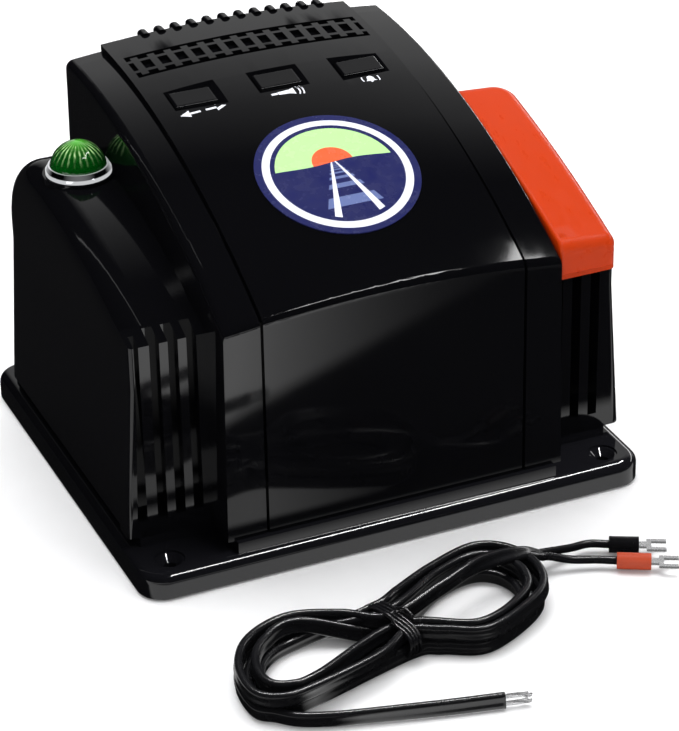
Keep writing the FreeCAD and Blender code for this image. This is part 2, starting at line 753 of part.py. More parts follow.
def coil(radius, wire, low, high, turns):
    """A compression spring as short runs of wire joined by bends, between two heights."""
    sides = 8
    step = 2 * math.pi / sides
    reach = radius / math.cos(step / 2)
    rise = (high - low) / (turns * sides)
    corners = [Vector(radius, 0, low)]
    for number in range(turns * sides):
        turn = (number + 0.5) * step
        height = low + (number + 0.5) * rise
        corners.append(Vector(reach * math.cos(turn), reach * math.sin(turn), height))
    corners.append(Vector(radius, 0, high))
    return pipe(corners, wire, 0.9 * radius)


def buttons():
    """Three caps that slide through the panel, their springs, switches and small board."""
    y = size("button_back")
    bodies = []
    for name, x in button_places():
        cap = tilted_box(f"{name}_cap", "button_length", "button_width", -3.4, -0.5, x, y)
        cap_round = round_edges(
            f"{name}_cap_round", cap,
            (0.8, lambda middle, edge, top=roof_frame(x, y).multVec(Vector(0, 0, -0.5)):
             abs((middle - top).dot(roof_frame(x, y).Rotation.multVec(Vector(0, 0, 1)))) < 0.01),
        )
        flange = tilted_box(f"{name}_flange", 17, 11, -4.3, -3.2, x, y)
        stem = tilted_cylinder(f"{name}_stem", 2, -8, -4, x, y)
        keep(fuse(f"{name}_button", cap_round, flange, stem))
        floor = -13.2 + crown_drop(x)
        wire = 0.45
        spring = coil(5.0, wire, floor + wire + 0.1, -4.4 - wire, 3)
        spring.Placement = roof_frame(x, y)
        solid_feature(f"{name}_spring", spring)
        bodies.append(tilted_box(f"{name}_switch", 6, 6, floor, -9.8, x, y))
    keep(fuse("button_switches", *bodies))
    board = tilted_box("button_board", 78, 16, -14.8, -13.2, 0, y)
    screws = []
    for x in (-15, 15):
        head = tilted_cylinder(f"board_screw_head_{x}", 2.2, -16.0, -14.8, x, y)
        screws.append(head)
    keep(board)
    keep(fuse("button_board_screws", *screws))


# ---------------------------------------------------------------- throttle

def throttle_lever():
    """The big lever: a crowned hood on a flat arm, with a hub for the potentiometer shaft."""
    profile = [
        ("-lever_front", 104), ("-lever_front", 81.6), ("-lever_front + 2.6", 78.4),
        ("lever_back", 106.2), ("lever_back", 125),
    ]
    block = prism("lever_block", "YZ_Plane", profile, "lever_inner", "lever_outer - lever_inner")
    top = barrel(
        "lever_barrel", "lever_top_radius", "lever_top_back", "lever_top_drop", "lever_crown"
    )
    outer = size("lever_outer")
    back = size("lever_back")
    front = -size("lever_front")
    corners = round_edges(
        "lever_corners", common("lever_shape", block, top),
        (8, lambda middle, edge: middle.x > outer - 0.1 and middle.y > back - 0.1),
        (4, lambda middle, edge: middle.x > outer - 0.1 and middle.y < front + 0.1),
    )
    nose = round_edges(
        "lever_nose", corners,
        (4.5, lambda middle, edge: middle.y < front + 0.1 and middle.z > 86
         and edge.BoundBox.XLength > 10),
    )
    rounded = round_edges(
        "lever_round", nose,
        (1.2, lambda middle, edge: middle.z > 91 and edge.BoundBox.YLength > 50
         and (middle.x > outer - 1 or middle.x < size("lever_inner") + 1)),
    )
    hollow = prism(
        "lever_hollow", "YZ_Plane", [(-65, 70), (-65, 85.5), (6.5, 107), (6.5, 90)],
        "arm_outer + 0.2", "lever_outer - lever_skin - arm_outer - 0.2",
    )
    arm = prism(
        "lever_arm", "YZ_Plane", [(0, 38), (16.3, 42), (7, 108), (-24, 97.5)],
        "arm_inner", "arm_outer - arm_inner",
    )
    hub = cylinder(
        "lever_hub", "hub_radius", "arm_outer - arm_inner",
        ("arm_inner", "pivot_back", "pivot_up"), "X",
    )
    bore = cylinder(
        "lever_bore", "shaft_radius + shaft_play", 20, ("arm_inner - 5", "pivot_back", "pivot_up"), "X"
    )
    handle = cut("lever_handle", rounded, hollow)
    keep(cut("throttle_lever", fuse("lever_solid", handle, arm, hub), bore))


def potentiometer():
    """The speed control that the lever turns: can, threaded bush, nut and shaft."""
    at = ("pivot_back", "pivot_up")
    can = cylinder("pot_can", 12, 9, (44, *at), "X")
    bush = cylinder("pot_bush", 4.65, 7.4, (53, *at), "X")
    bore = cylinder("pot_bore", "shaft_radius + shaft_play", 20, (46, *at), "X")
    lug_plate = box("pot_lugs", 1.6, 14, 8, (44.5, "pivot_back - 7", "pivot_up - 19"))
    keep(cut("potentiometer", fuse("pot_solid", can, bush, lug_plate), bore))
    nut = hexagon("pot_nut_blank", 13, 1.4, (59.0, *at), "X")
    keep(cut("potentiometer_nut", nut, cylinder("pot_nut_bore", 4.7, 5, (58, *at), "X")))
    keep(cylinder("throttle_shaft", "shaft_radius", "arm_outer - 46.2", (46.2, *at), "X"))


# ---------------------------------------------------------------- pilot lamp

def pilot_lamp():
    """The green pilot lamp: bezel, jewel, bulb and the holder under the shoulder."""
    at = ("-lamp_side", "lamp_back")
    ring = fuse(
        "bezel_rings",
        cylinder("bezel_skirt", 11, 1.3, (*at, "lamp_seat")),
        cone("bezel_slope", 10.7, 10.1, 1.6, (*at, "lamp_seat + 1.3")),
        cylinder("bezel_tail", 8.5, 8, (*at, "lamp_seat - 8")),
    )
    keep(cut("lamp_bezel", ring, cylinder("bezel_bore", 7.4, 30, (*at, "lamp_seat - 10")),
             cylinder("bezel_seat", 9.5, 5, (*at, "lamp_seat + 1"))))
    dome = doc.addObject("Part::Sphere", "jewel_ball")
    bind(dome, Radius="9.6")
    place(dome, (*at, "lamp_seat + 1"))
    trim = cylinder("jewel_trim", 9.45, 20, (*at, "lamp_seat + 1"))
    inside = doc.addObject("Part::Sphere", "jewel_inside")
    bind(inside, Radius="7.2")
    place(inside, (*at, "lamp_seat + 1"))
    keep(cut("lamp_jewel", common("jewel_dome", dome, trim), inside))
    holder = cylinder("holder_body", 7.2, 16, (*at, "lamp_seat - 18"))
    well = cylinder("holder_well", 3.3, 12, (*at, "lamp_seat - 12"))
    keep(cut("lamp_holder", holder, well))
    bulb = doc.addObject("Part::Sphere", "bulb_tip")
    bind(bulb, Radius="3")
    place(bulb, (*at, "lamp_seat + 1.5"))
    stem = cylinder("bulb_stem", 3, 13, (*at, "lamp_seat - 11.5"))
    keep(fuse("lamp_bulb", bulb, stem))


# ---------------------------------------------------------------- rear terminals

def terminal_places():
    """The four terminals, each with its distance to the right of the origin."""
    names = ("track_common", "track_power", "accessory_common", "accessory_power")
    first = size("post_first")
    pitch = size("post_pitch")
    return [(name, first + number * pitch) for number, name in enumerate(names)]


def terminal_nut(name, x):
    """A knurled cap nut: a turned pad with grooves repeated round it."""
    body = doc.addObject("PartDesign::Body", f"{name}_nut")
    blank = body.newObject("Sketcher::SketchObject", f"{name}_nut_outline")
    attach(blank, body, "XZ_Plane")
    blank.addGeometry(Part.Circle(Vector(), Vector(0, 0, 1), size("nut_radius")))
    radius = blank.addConstraint(Sketcher.Constraint("Radius", 0, size("nut_radius")))
    blank.setExpression(f"Constraints[{radius}]", formula("nut_radius"))
    blank.addConstraint(Sketcher.Constraint("Coincident", 0, 3, -1, 1))
    pad = body.newObject("PartDesign::Pad", f"{name}_nut_pad")
    pad.Profile = blank
    pad.Reversed = True
    bind(pad, Length="nut_length")
    doc.recompute()
    full = pad.Shape.Volume
    flute = body.newObject("Sketcher::SketchObject", f"{name}_flute_outline")
    attach(flute, body, "XZ_Plane")
    flute.addGeometry(Part.Circle(Vector(0, 6.4, 0), Vector(0, 0, 1), 0.9))
    groove = body.newObject("PartDesign::Pocket", f"{name}_flute")
    groove.Profile = flute
    groove.Type = "ThroughAll"
    groove.Midplane = True
    doc.recompute()
    if groove.Shape.Volume > full - 1:
        raise RuntimeError(f"{name}: the flute cuts nothing")
    ring = body.newObject("PartDesign::PolarPattern", f"{name}_flutes")
    ring.Originals = [groove]
    ring.Axis = (blank, ["N_Axis"])
    ring.Angle = 360
    ring.Occurrences = 14
    body.Tip = ring
    doc.recompute()
    body.Placement = FreeCAD.Placement(Vector(x, size("hood_back") + 3.4, size("post_up")), Rotation())
    bore = cylinder(
        f"{name}_nut_bore", "post_radius + shaft_play", 9.6, (x, "hood_back + 3.3", "post_up"), "Y"
    )
    keep(cut(f"{name}_nut", body, bore), f"{name}_post_nut")


def terminals():
    """The terminal plate in the rear wall with four studs, collars and cap nuts."""
    plate = box("plate_face", 99.6, 3.2, 53.6, (-49.8, "hood_back - 3", 24.2))
    flange = box("plate_flange", 104, 1.6, 58, (-52, "hood_back - side_wall - 1.7", 22))
    holes = []
    studs = []
    collars = []
    tags = []
    for name, x in terminal_places():
        holes.append(cylinder(f"{name}_collar_way", 4.05, 20, (x, 58, "post_up"), "Y"))
        studs.append(cylinder(f"{name}_stud_bar", "post_radius", 23.5, (x, 57, "post_up"), "Y"))
        head = hexagon(f"{name}_stud_head", 8, 2.4, (x, 56.6, "post_up"), "Y")
        studs.append(head)
        lip = cylinder(f"{name}_collar_lip", 6.4, 3, (x, "hood_back + 0.3", "post_up"), "Y")
        neck = cylinder(f"{name}_collar_neck", 4, 8, (x, "hood_back - 6", "post_up"), "Y")
        bore = cylinder(f"{name}_collar_bore", "post_radius + shaft_play", 20, (x, 58, "post_up"), "Y")
        collars.append(cut(f"{name}_collar", fuse(f"{name}_collar_blank", lip, neck), bore))
        ring = cylinder(f"{name}_tag_ring", 4, 0.8, (x, 60.4, "post_up"), "Y")
        tail = box(f"{name}_tag_tail", 2.6, 0.8, 9, (x - 1.3, 60.4, "post_up - 12"))
        way = cylinder(f"{name}_tag_way", "post_radius + shaft_play", 4, (x, 59, "post_up"), "Y")
        tags.append(cut(f"{name}_tag", fuse(f"{name}_tag_blank", ring, tail), way))
        terminal_nut(name, x)
    cord_way = cylinder("cord_way", 6.3, 20, (38, 58, 34), "Y")
    keep(cut("terminal_plate", fuse("plate_solid", plate, flange), *holes, cord_way))
    keep(fuse("terminal_studs", *studs))
    keep(fuse("terminal_collars", *collars))
    keep(fuse("solder_tags", *tags))


# ---------------------------------------------------------------- inside the hood

def transformer():
    """The mains transformer: laminated core, bobbin, two windings, strap and bolts."""
    at = ("core_left", "core_front", "core_floor")
    block = box("core_block", "core_width", "core_stack", "core_height", at)
    windows = []
    for name, x in (
        ("left", "core_left + core_leg"),
        ("right", "core_left + core_width - 2 * core_leg"),
    ):
        windows.append(box(
            f"core_window_{name}", "core_leg", "core_stack + 2", "core_height - 2 * core_leg",
            (x, "core_front - 1", "core_floor + core_leg"),
        ))
    keep(cut("transformer_core", block, *windows))

    middle = "core_left + core_width / 2"

    def ring(name, thin, thick, clearance, height):
        """A square tube round the middle leg, from one distance off the leg to another."""
        low = f"core_floor + core_leg + {clearance}"
        tall = f"core_height - 2 * core_leg - 2 * {clearance}" if height is None else height
        outer = box(
            f"{name}_outer", f"2 * core_leg + 2 * {thick}", f"core_stack + 2 * {thick}", tall,
            (f"{middle} - core_leg - {thick}", f"core_front - {thick}", low),
        )
        inner = box(
            f"{name}_inner", f"2 * core_leg + 2 * {thin}", f"core_stack + 2 * {thin}", 100,
            (f"{middle} - core_leg - {thin}", f"core_front - {thin}", "core_floor"),
        )
        return cut(name, outer, inner)

    tube = ring("bobbin_tube", 0.1, 1.2, 0.3, None)
    low_flange = ring("bobbin_low", 0.1, 12.4, 0.3, 1.4)
    high_flange = ring("bobbin_high", 0.1, 12.4, 0.3, 1.4)
    high_flange.Base.setExpression(
        "Placement.Base.z", formula("core_floor + core_height - core_leg - 0.3 - 1.4")
    )
    keep(fuse("transformer_bobbin", tube, low_flange, high_flange))
    keep(ring("primary_winding", 1.3, 6.4, 1.8, None))
    keep(ring("secondary_winding", 6.6, 11.8, 1.8, None))

    wall = 1.2
    outer = box(
        "strap_outer", f"core_width + 2 * {wall} + 0.2", 24,
        f"core_height + core_floor - plinth_top + {wall}",
        (f"core_left - {wall} - 0.1", "core_front + 7", "plinth_top"),
    )
    inner = box("strap_inner", "core_width + 0.2", 30, "core_height + 20",
                ("core_left - 0.1", "core_front + 4", "core_floor + 0.1 - 20"))
    ears = [
        box(f"strap_ear_{side}", 11, 24, wall, (x, "core_front + 7", "plinth_top"))
        for side, x in (
            ("left", f"core_left - {wall} - 10"), ("right", "core_left + core_width")
        )
    ]
    ear_cut = [
        cylinder(f"strap_hole_{x}", 2.15, 10, (x, "core_front + 19", "plinth_top - 2"))
        for x in STRAP_SCREWS
    ]
    bent = cut("strap_bent", outer, inner)
    keep(cut("transformer_strap", fuse("strap_solid", bent, *ears), *ear_cut))
    screws = [
        fuse(
            f"strap_screw_{x}",
            cylinder(f"strap_screw_head_{x}", 3.6, 2.4, (x, "core_front + 19", "plinth_top + 1.2")),
            cylinder(f"strap_screw_shank_{x}", 2, 3.5, (x, "core_front + 19", "plinth_top - 1.5")),
        )
        for x in STRAP_SCREWS
    ]
    keep(fuse("transformer_screws", *screws))
    blocks = [
        box(f"core_pad_{number}", 12, 24, "core_floor - plinth_top", (x, "core_front + 7", "plinth_top"))
        for number, x in enumerate((-36, 16))
    ]
    keep(fuse("transformer_pads", *blocks))


def main_board():
    """The power board on its four posts, with the larger parts that stand on it."""
    top = "board_floor + board_thick"
    blank = box("board_blank", 100, 44, "board_thick", (-50, -67, "board_floor"))
    holes = [
        cylinder(f"board_hole_{x}_{y}", 1.6, 10, (x, y, "board_floor - 4"))
        for x in (-46, 46) for y in (-62, -28)
    ]
    keep(cut("main_board", blank, *holes))
    screws = [
        fuse(
            f"board_screw_{x}_{y}",
            cylinder(f"board_screw_top_{x}_{y}", 2.8, 1.8, (x, y, top)),
            cylinder(f"board_screw_shank_{x}_{y}", 1.5, "board_thick", (x, y, "board_floor")),
        )
        for x in (-46, 46) for y in (-62, -28)
    ]
    keep(fuse("main_board_screws", *screws))
    cans = [
        cylinder(f"capacitor_can_{number}", radius, height, (x, y, top))
        for number, (x, y, radius, height) in enumerate(
            ((-32, -50, 8, 30), (-14, -52, 6.3, 22), (-30, -32, 5, 16))
        )
    ]
    keep(fuse("filter_capacitors", *cans))
    plate = box("sink_plate", 34, 2.5, 34, (6, -60, top))
    fins = [
        box(f"sink_fin_{number}", 1.4, 12, 34, (6 + 6.5 * number, -58, top))
        for number in range(6)
    ]
    keep(fuse("heat_sink", plate, *fins))
    keep(box("power_triac", 10, 4.4, 15, (18, -64.5, f"{top} + 6")))
    keep(box("control_chip", 20, 7, 3.4, (-12, -38, top)))
    clip = box("fuse_block", 24, 7, 6, (16, -38, top))
    groove = cylinder("fuse_groove", 2.7, 30, (12, -34.5, f"{top} + 6"), "X")
    keep(cut("fuse_holder", clip, groove))
    keep(cylinder("fuse", 2.6, 20, (18, -34.5, f"{top} + 6"), "X"))


# ---------------------------------------------------------------- cords and leads

def pipe(points, radius, bend):
    """A round cord along straight runs whose corners are rounded."""
    edges = []
    start = points[0]
    for before, corner, after in zip(points, points[1:], points[2:]):
        back = (before - corner).normalize()
        ahead = (after - corner).normalize()
        half = back.getAngle(ahead) / 2
        reach = bend / math.tan(half)
        entry = corner + back * reach
        leave = corner + ahead * reach
        centre = corner + (back + ahead).normalize() * (bend / math.sin(half))
        peak = centre + (corner - centre).normalize() * bend
        edges.append(Part.LineSegment(start, entry).toShape())
        edges.append(Part.Arc(entry, peak, leave).toShape())
        start = leave
    edges.append(Part.LineSegment(start, points[-1]).toShape())
    wire = Part.Wire(edges)
    profile = Part.Wire(Part.makeCircle(radius, points[0], points[1] - points[0]))
    return wire.makePipeShell([profile], True, False)


def serpentine(left, right, rows, floor):
    """Corners of a cord folded back and forth along X, one row behind the other."""
    corners = []
    for number, row in enumerate(rows):
        ends = (right, left) if number % 2 == 0 else (left, right)
        corners += [Vector(ends[0], row, floor), Vector(ends[1], row, floor)]
    return corners


def mains_cord():
    """The mains cord: strain relief, a folded and tied length of cord, and the plug."""
    radius = 3.2
    exit_x, exit_z = 38.0, 34.0
    back = size("hood_back")
    grip = fuse(
        "relief_solid",
        cylinder("relief_neck", 6.2, 7, (exit_x, "hood_back - 4", exit_z), "Y"),
        cylinder("relief_flange", 8.2, 2.4, (exit_x, "hood_back + 0.3", exit_z), "Y"),
        cone("relief_tail", 5.4, 4.3, 12, (exit_x, "hood_back + 2.7", exit_z), "Y"),
    )
    way = cylinder("relief_bore", radius + 0.05, 40, (exit_x, 55, exit_z), "Y")
    keep(cut("strain_relief", grip, way))
    rows = [back + 40, back + 48, back + 56, back + 64]
    level = radius + 0.7
    plug_row = rows[-1] + 14
    path = [Vector(exit_x, back - 8, exit_z), Vector(exit_x, back + 26, exit_z)]
    path += [Vector(exit_x + 18, rows[0] - 8, level)]
    path += serpentine(-52, 56, rows, level)
    path.append(Vector(56, plug_row, level))
    path.append(Vector(14, plug_row, level))
    solid_feature("mains_cord", pipe(path, radius, 3.9))

    band = 0.6
    reach = rows[-1] - rows[0] + 2 * radius
    outer = box(
        "cord_tie_outer", 6, reach + 2 * band + 0.2, 2 * radius + 2 * band,
        (-3, rows[0] - radius - band - 0.1, 0.1),
    )
    inner = box(
        "cord_tie_inner", 10, reach + 0.2, 2 * radius, (-5, rows[0] - radius - 0.1, level - radius)
    )
    keep(cut("mains_cord_tie", round_edges(
        "cord_tie_round", outer, (0.5, lambda middle, edge: edge.BoundBox.XLength > 5)), inner))

    body = box("plug_block", 26, 19, 13, (-14, plug_row - 9.5, 0.2))
    rounded = round_edges("plug_round", body, (3, lambda middle, edge: edge.BoundBox.ZLength > 10))
    way = cylinder("plug_way", radius + 0.05, 14, (4, plug_row, level), "X")
    keep(cut("mains_plug", rounded, way))
    blades = [
        box(f"plug_blade_{number}", 18, 1.5, 6.3, (-32.1, plug_row + offset, 3.6))
        for number, offset in enumerate((-7.1, 5.6))
    ]
    keep(fuse("plug_blades", *blades))


def internal_wires():
    """Wires from the board to the terminals and up to the pilot lamp."""
    wire = 0.9
    board = size("board_floor") + size("board_thick")
    tag = size("post_up") - 10
    runs = []
    for number, (name, x) in enumerate(terminal_places()):
        start = -41 + 2.6 * number
        lane = -55 + 2.4 * number
        height = 30 + 3.2 * number
        runs.append(pipe([
            Vector(start, -25, board),
            Vector(start, -25, height),
            Vector(lane, -9, height),
            Vector(lane, 46, height),
            Vector(x, 52, tag),
            Vector(x, size("hood_back") - 7.6, tag),
        ], wire, 1.5))
    for number in range(2):
        across = 1.6 - 3.2 * number
        height = 46 + 3.0 * number
        runs.append(pipe([
            Vector(across - size("lamp_side"), size("lamp_back"), size("lamp_seat") - 18),
            Vector(across - size("lamp_side"), size("lamp_back"), height),
            Vector(across - 56, -21, height),
            Vector(across - 26, -24.4, height),
            Vector(across - 26, -24.4, board),
        ], wire, 1.5))
    solid_feature("internal_wires", Part.makeCompound(runs))


def ring_cord(centre, half_length, half_width, turn, radius):
    """A closed stadium-shaped ring of cord lying flat."""
    turned = Rotation(Vector(0, 0, 1), turn)

    def at(across, along):
        return centre + turned.multVec(Vector(across, along, 0))

    straight = half_length - half_width
    start, corner = at(-straight, -half_width), at(straight, -half_width)
    edges = [
        Part.LineSegment(start, corner).toShape(),
        Part.Arc(corner, at(half_length, 0), at(straight, half_width)).toShape(),
        Part.LineSegment(at(straight, half_width), at(-straight, half_width)).toShape(),
        Part.Arc(at(-straight, half_width), at(-half_length, 0), start).toShape(),
    ]
    profile = Part.Wire(Part.makeCircle(radius, start, corner - start))
    return Part.Wire(edges).makePipeShell([profile], True, False)


def track_lead():
    """The loose twin lead that joins the terminals to the track: hank, tie and lugs."""
    cord, conductor = 5.0, 1.9
    turn = 14.0
    waist = Vector(-26, -130.5, 8.1)
    along = Rotation(Vector(0, 0, 1), turn).multVec(Vector(1, 0, 0))
    pieces = [
        ring_cord(Vector(-56, -132, cord + 0.2), 22, 16.5, turn, cord),
        ring_cord(Vector(2, -122.5, cord + 0.2), 22, 17, turn, cord),
        Part.makeCylinder(7.0, 30, waist - along * 16, along),
        pipe(
            [waist + along * 10, Vector(28, -112.5, 9), Vector(51.2, -108.8, 3.4),
             Vector(56.8, -111.7, 3.4)],
            conductor, 4,
        ),
        pipe(
            [waist + along * 9, Vector(28, -115.7, 9), Vector(48.9, -118.25, 3.4),
             Vector(54.5, -121.3, 3.4)],
            conductor, 4,
        ),
        pipe(
            [Vector(-68, -147, 4), Vector(-62, -160, 3), Vector(-40, -167, 2.8),
             Vector(-11.5, -174.4, 2.8)],
            2.6, 4,
        ),
    ]
    cable = pieces[0].fuse(pieces[1:])
    solid_feature("track_lead_cable", cable)
    tie_start = waist - along * 2.1
    band = Part.makeCylinder(8.05, 3.8, tie_start, along)
    core = Part.makeCylinder(7.25, 3.8, tie_start, along)
    solid_feature("track_lead_tie", band.cut(core))

    forks = []
    for name, start, end in (
        ("black", Vector(57, -111.8, 3.4), Vector(65.5, -116.2, 3.4)),
        ("red", Vector(54.7, -121.4, 3.4), Vector(64.3, -126.6, 3.4)),
    ):
        way = end - start
        sleeve = Part.makeCylinder(2.7, way.Length, start, way)
        solid_feature(f"lug_sleeve_{name}", sleeve)
        frame = FreeCAD.Placement(end, Rotation(Vector(1, 0, 0), way))
        tongue = Part.makeBox(3, 3, 0.8, Vector(0, -1.5, -0.4))
        blade = Part.makeBox(6.3, 6.4, 0.8, Vector(2.5, -3.2, -0.4))
        throat = Part.makeBox(6, 3.4, 2, Vector(4, -1.7, -1))
        fork = tongue.fuse(blade).cut(throat).removeSplitter()
        fork.Placement = frame
        forks.append(fork)
    solid_feature("lug_forks", Part.makeCompound(forks))
    end = Vector(-11.5, -174.4, 2.8)
    way = (end - Vector(-40, -167, 2.8)).normalize()
    side = Vector(-way.y, way.x, 0) * 1.3
    tips = [Part.makeCylinder(0.8, 8, end + side * sign, way) for sign in (-1, 1)]
    solid_feature("tinned_ends", Part.makeCompound(tips))


# ---------------------------------------------------------------- build and write

base_plate()
base_fittings()
main_shell()
centre_panel()
badge()
buttons()
throttle_lever()
potentiometer()
pilot_lamp()
terminals()
transformer()
main_board()
mains_cord()
internal_wires()
track_lead()

doc.recompute()
for item in doc.Objects:
    if {"Invalid", "Error"} & set(item.State):
        raise RuntimeError(f"{item.Label} failed: {item.State}")
os.makedirs("parts", exist_ok=True)
for item in sub_parts:
    if item.Shape.isNull() or not item.Shape.isValid():
        raise RuntimeError(f"{item.Label} has no valid shape")
    item.Shape.exportStep(f"parts/{item.Label}.step")
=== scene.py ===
"""Train set controller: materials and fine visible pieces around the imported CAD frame."""
import json
import math

import bmesh
import bpy
from mathutils import Matrix, Vector
from mathutils.bvhtree import BVHTree


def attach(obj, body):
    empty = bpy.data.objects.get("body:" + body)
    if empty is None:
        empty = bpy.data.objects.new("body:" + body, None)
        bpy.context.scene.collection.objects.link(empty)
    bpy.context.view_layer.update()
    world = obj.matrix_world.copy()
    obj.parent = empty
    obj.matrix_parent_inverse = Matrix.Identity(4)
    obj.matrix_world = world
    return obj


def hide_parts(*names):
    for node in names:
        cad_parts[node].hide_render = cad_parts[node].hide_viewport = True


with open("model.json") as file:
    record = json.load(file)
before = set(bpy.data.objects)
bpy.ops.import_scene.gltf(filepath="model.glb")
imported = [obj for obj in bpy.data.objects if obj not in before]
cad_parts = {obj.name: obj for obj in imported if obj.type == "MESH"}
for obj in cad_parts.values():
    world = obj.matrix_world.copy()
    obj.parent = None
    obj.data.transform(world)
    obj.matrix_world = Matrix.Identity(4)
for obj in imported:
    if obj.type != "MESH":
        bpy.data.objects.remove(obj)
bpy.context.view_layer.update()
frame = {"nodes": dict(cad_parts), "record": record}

MM = 0.001
NODES = frame["nodes"]

JEWEL = Vector((-67.7, 30.0, 102.6))  # middle of the pilot lens at its foot, mm
JEWEL_RADIUS = 9.5
JEWEL_FLUTES = 24
BADGE_Y = -29.3  # middle of the sloping round plate, mm
BADGE_SLOPE = 0.938  # the plate's depth seen from above, as a share of its width
KEY_X = 29.9  # the outer keys' distance from the middle key, mm


# ---------------------------------------------------------------- material helpers

def linear(red, green, blue):
    """A scene-linear colour from 8-bit display values."""
    def channel(value):
        value = value / 255
        return value / 12.92 if value <= 0.04045 else ((value + 0.055) / 1.055) ** 2.4
    return (channel(red), channel(green), channel(blue), 1.0)


class Shader:
    """A material under construction: short calls that add and join nodes."""

    def __init__(self, name, **settings):
        self.material = bpy.data.materials.new(name)
        self.material.use_nodes = True
        self.tree = self.material.node_tree
        self.surface = self.tree.nodes["Principled BSDF"]
        self.place = self.tree.nodes.new("ShaderNodeTexCoord").outputs["Object"]
        self.set(**settings)

    def set(self, **settings):
        for name, value in settings.items():
            socket = self.surface.inputs[name.replace("_", " ")]
            if isinstance(value, bpy.types.NodeSocket):
                self.tree.links.new(value, socket)
            else:
                socket.default_value = value

    def node(self, kind, **inputs):
        item = self.tree.nodes.new(kind)
        for name, value in inputs.items():
            self.feed(item, name.replace("_", " "), value)
        return item

    def feed(self, item, name, value):
        socket = item.inputs[int(name)] if name.isdigit() else item.inputs[name]
        if isinstance(value, bpy.types.NodeSocket):
            self.tree.links.new(value, socket)
        else:
            socket.default_value = value

    def noise(self, scale, detail=3.0, rough=0.5, stretch=None):
        """Noise in object space; scale is in features per metre."""
        place = self.place
        if stretch:
            mapping = self.node("ShaderNodeMapping", Vector=place)
            mapping.inputs["Scale"].default_value = stretch
            place = mapping.outputs["Vector"]
        item = self.node("ShaderNodeTexNoise", Vector=place, Scale=scale, Detail=detail, Roughness=rough)
        return item.outputs["Fac"]

    def spread(self, value, low, high, start=0.3, stop=0.7):
        """Map a value between two limits to a new range."""
        item = self.node("ShaderNodeMapRange", Value=value)
        for name, number in (("From Min", start), ("From Max", stop), ("To Min", low), ("To Max", high)):
            self.feed(item, name, number)
        return item.outputs["Result"]

    def math(self, kind, first, second=0.0, third=None):
        item = self.tree.nodes.new("ShaderNodeMath")
        item.operation = kind
        self.feed(item, "0", first)
        self.feed(item, "1", second)
        if third is not None:
            self.feed(item, "2", third)
        return item.outputs[0]

    def mix(self, share, first, second):
        item = self.tree.nodes.new("ShaderNodeMix")
        item.data_type = "RGBA"
        self.feed(item, "0", share)
        for index, value in ((6, first), (7, second)):
            if isinstance(value, bpy.types.NodeSocket):
                self.tree.links.new(value, item.inputs[index])
            else:
                item.inputs[index].default_value = value
        return item.outputs[2]

    def overlay(self, share, colour):
        """Lay a second colour over the base colour that is there."""
        base = self.surface.inputs["Base Color"].links[0].from_socket
        self.set(Base_Color=self.mix(share, base, colour))

    def bump(self, *layers):
        """Bump layers, each a height, a depth in metres and a strength."""
        normal = None
        for height, depth, strength in layers:
            item = self.node("ShaderNodeBump", Height=height, Distance=depth, Strength=strength)
            if normal is not None:
                self.tree.links.new(normal, item.inputs["Normal"])
            normal = item.outputs["Normal"]
        self.set(Normal=normal)


def moulded(name, colour, smooth, grain, ripple=0.05, shade=0.12):
    """Moulded plastic: slow ripples from cooling, a fine grain, faint handling marks."""
    item = Shader(name)
    drift = item.noise(18, 2)
    dark = tuple(channel * (1 - shade) for channel in colour[:3]) + (1.0,)
    pale = tuple(min(1, channel * (1 + shade)) for channel in colour[:3]) + (1.0,)
    marks = item.noise(260, 5, 0.7, (1.0, 0.25, 1.0))
    item.set(
        Base_Color=item.mix(drift, dark, pale),
        Roughness=item.spread(marks, smooth * 0.82, smooth * 1.25),
        IOR=1.5,
    )
    item.bump(
        (item.noise(30, 1), 0.0012, ripple),
        (item.noise(2600, 2), 0.00004, grain),
    )
    return item


def gloss_black():
    """High-gloss black ABS with faint dust and hairline handling marks."""
    item = moulded("gloss_black", linear(8, 8, 10), 0.06, 0.03, 0.012)
    dust = item.spread(item.noise(5200, 1), 0.0, 1.0, 0.75, 0.80)
    item.overlay(item.math("MULTIPLY", dust, 0.12), linear(110, 110, 114))
    return item.material


def matte_black():
    """Spark-textured black plastic."""
    return moulded("matte_black", linear(26, 26, 28), 0.5, 0.5).material


def cord_black():
    """Vinyl cord jacket: a satin skin with long drawing lines and a few scuffs."""
    item = moulded("cord_black", linear(13, 13, 15), 0.24, 0.05, 0.02)
    scuffs = item.spread(item.noise(900, 5, 0.75), 0.0, 0.08, 0.62, 0.75)
    item.overlay(scuffs, linear(70, 70, 74))
    return item.material


def rubber_black():
    """Soft rubber feet and grips: dull, with a fine talc bloom."""
    item = moulded("rubber_black", linear(22, 22, 24), 0.36, 0.25)
    bloom = item.spread(item.noise(700, 4, 0.7), 0.0, 0.10)
    item.overlay(bloom, linear(80, 80, 84))
    return item.material


def orange_plastic():
    """Glossy orange plastic that lets a little light in."""
    item = moulded("orange_plastic", linear(190, 54, 5), 0.30, 0.10, 0.04, 0.04)
    item.set(Specular_IOR_Level=0.3, Subsurface_Weight=0.04, Subsurface_Radius=(0.003, 0.001, 0.0005))
    return item.material


def sleeve_red():
    """Orange-red vinyl sleeving that leaves no tint in the glossy case beside it."""
    item = moulded("sleeve_red", linear(178, 66, 36), 0.35, 0.2)
    glossy = item.node("ShaderNodeLightPath").outputs["Is Glossy Ray"]
    item.overlay(glossy, linear(20, 12, 10))
    return item.material


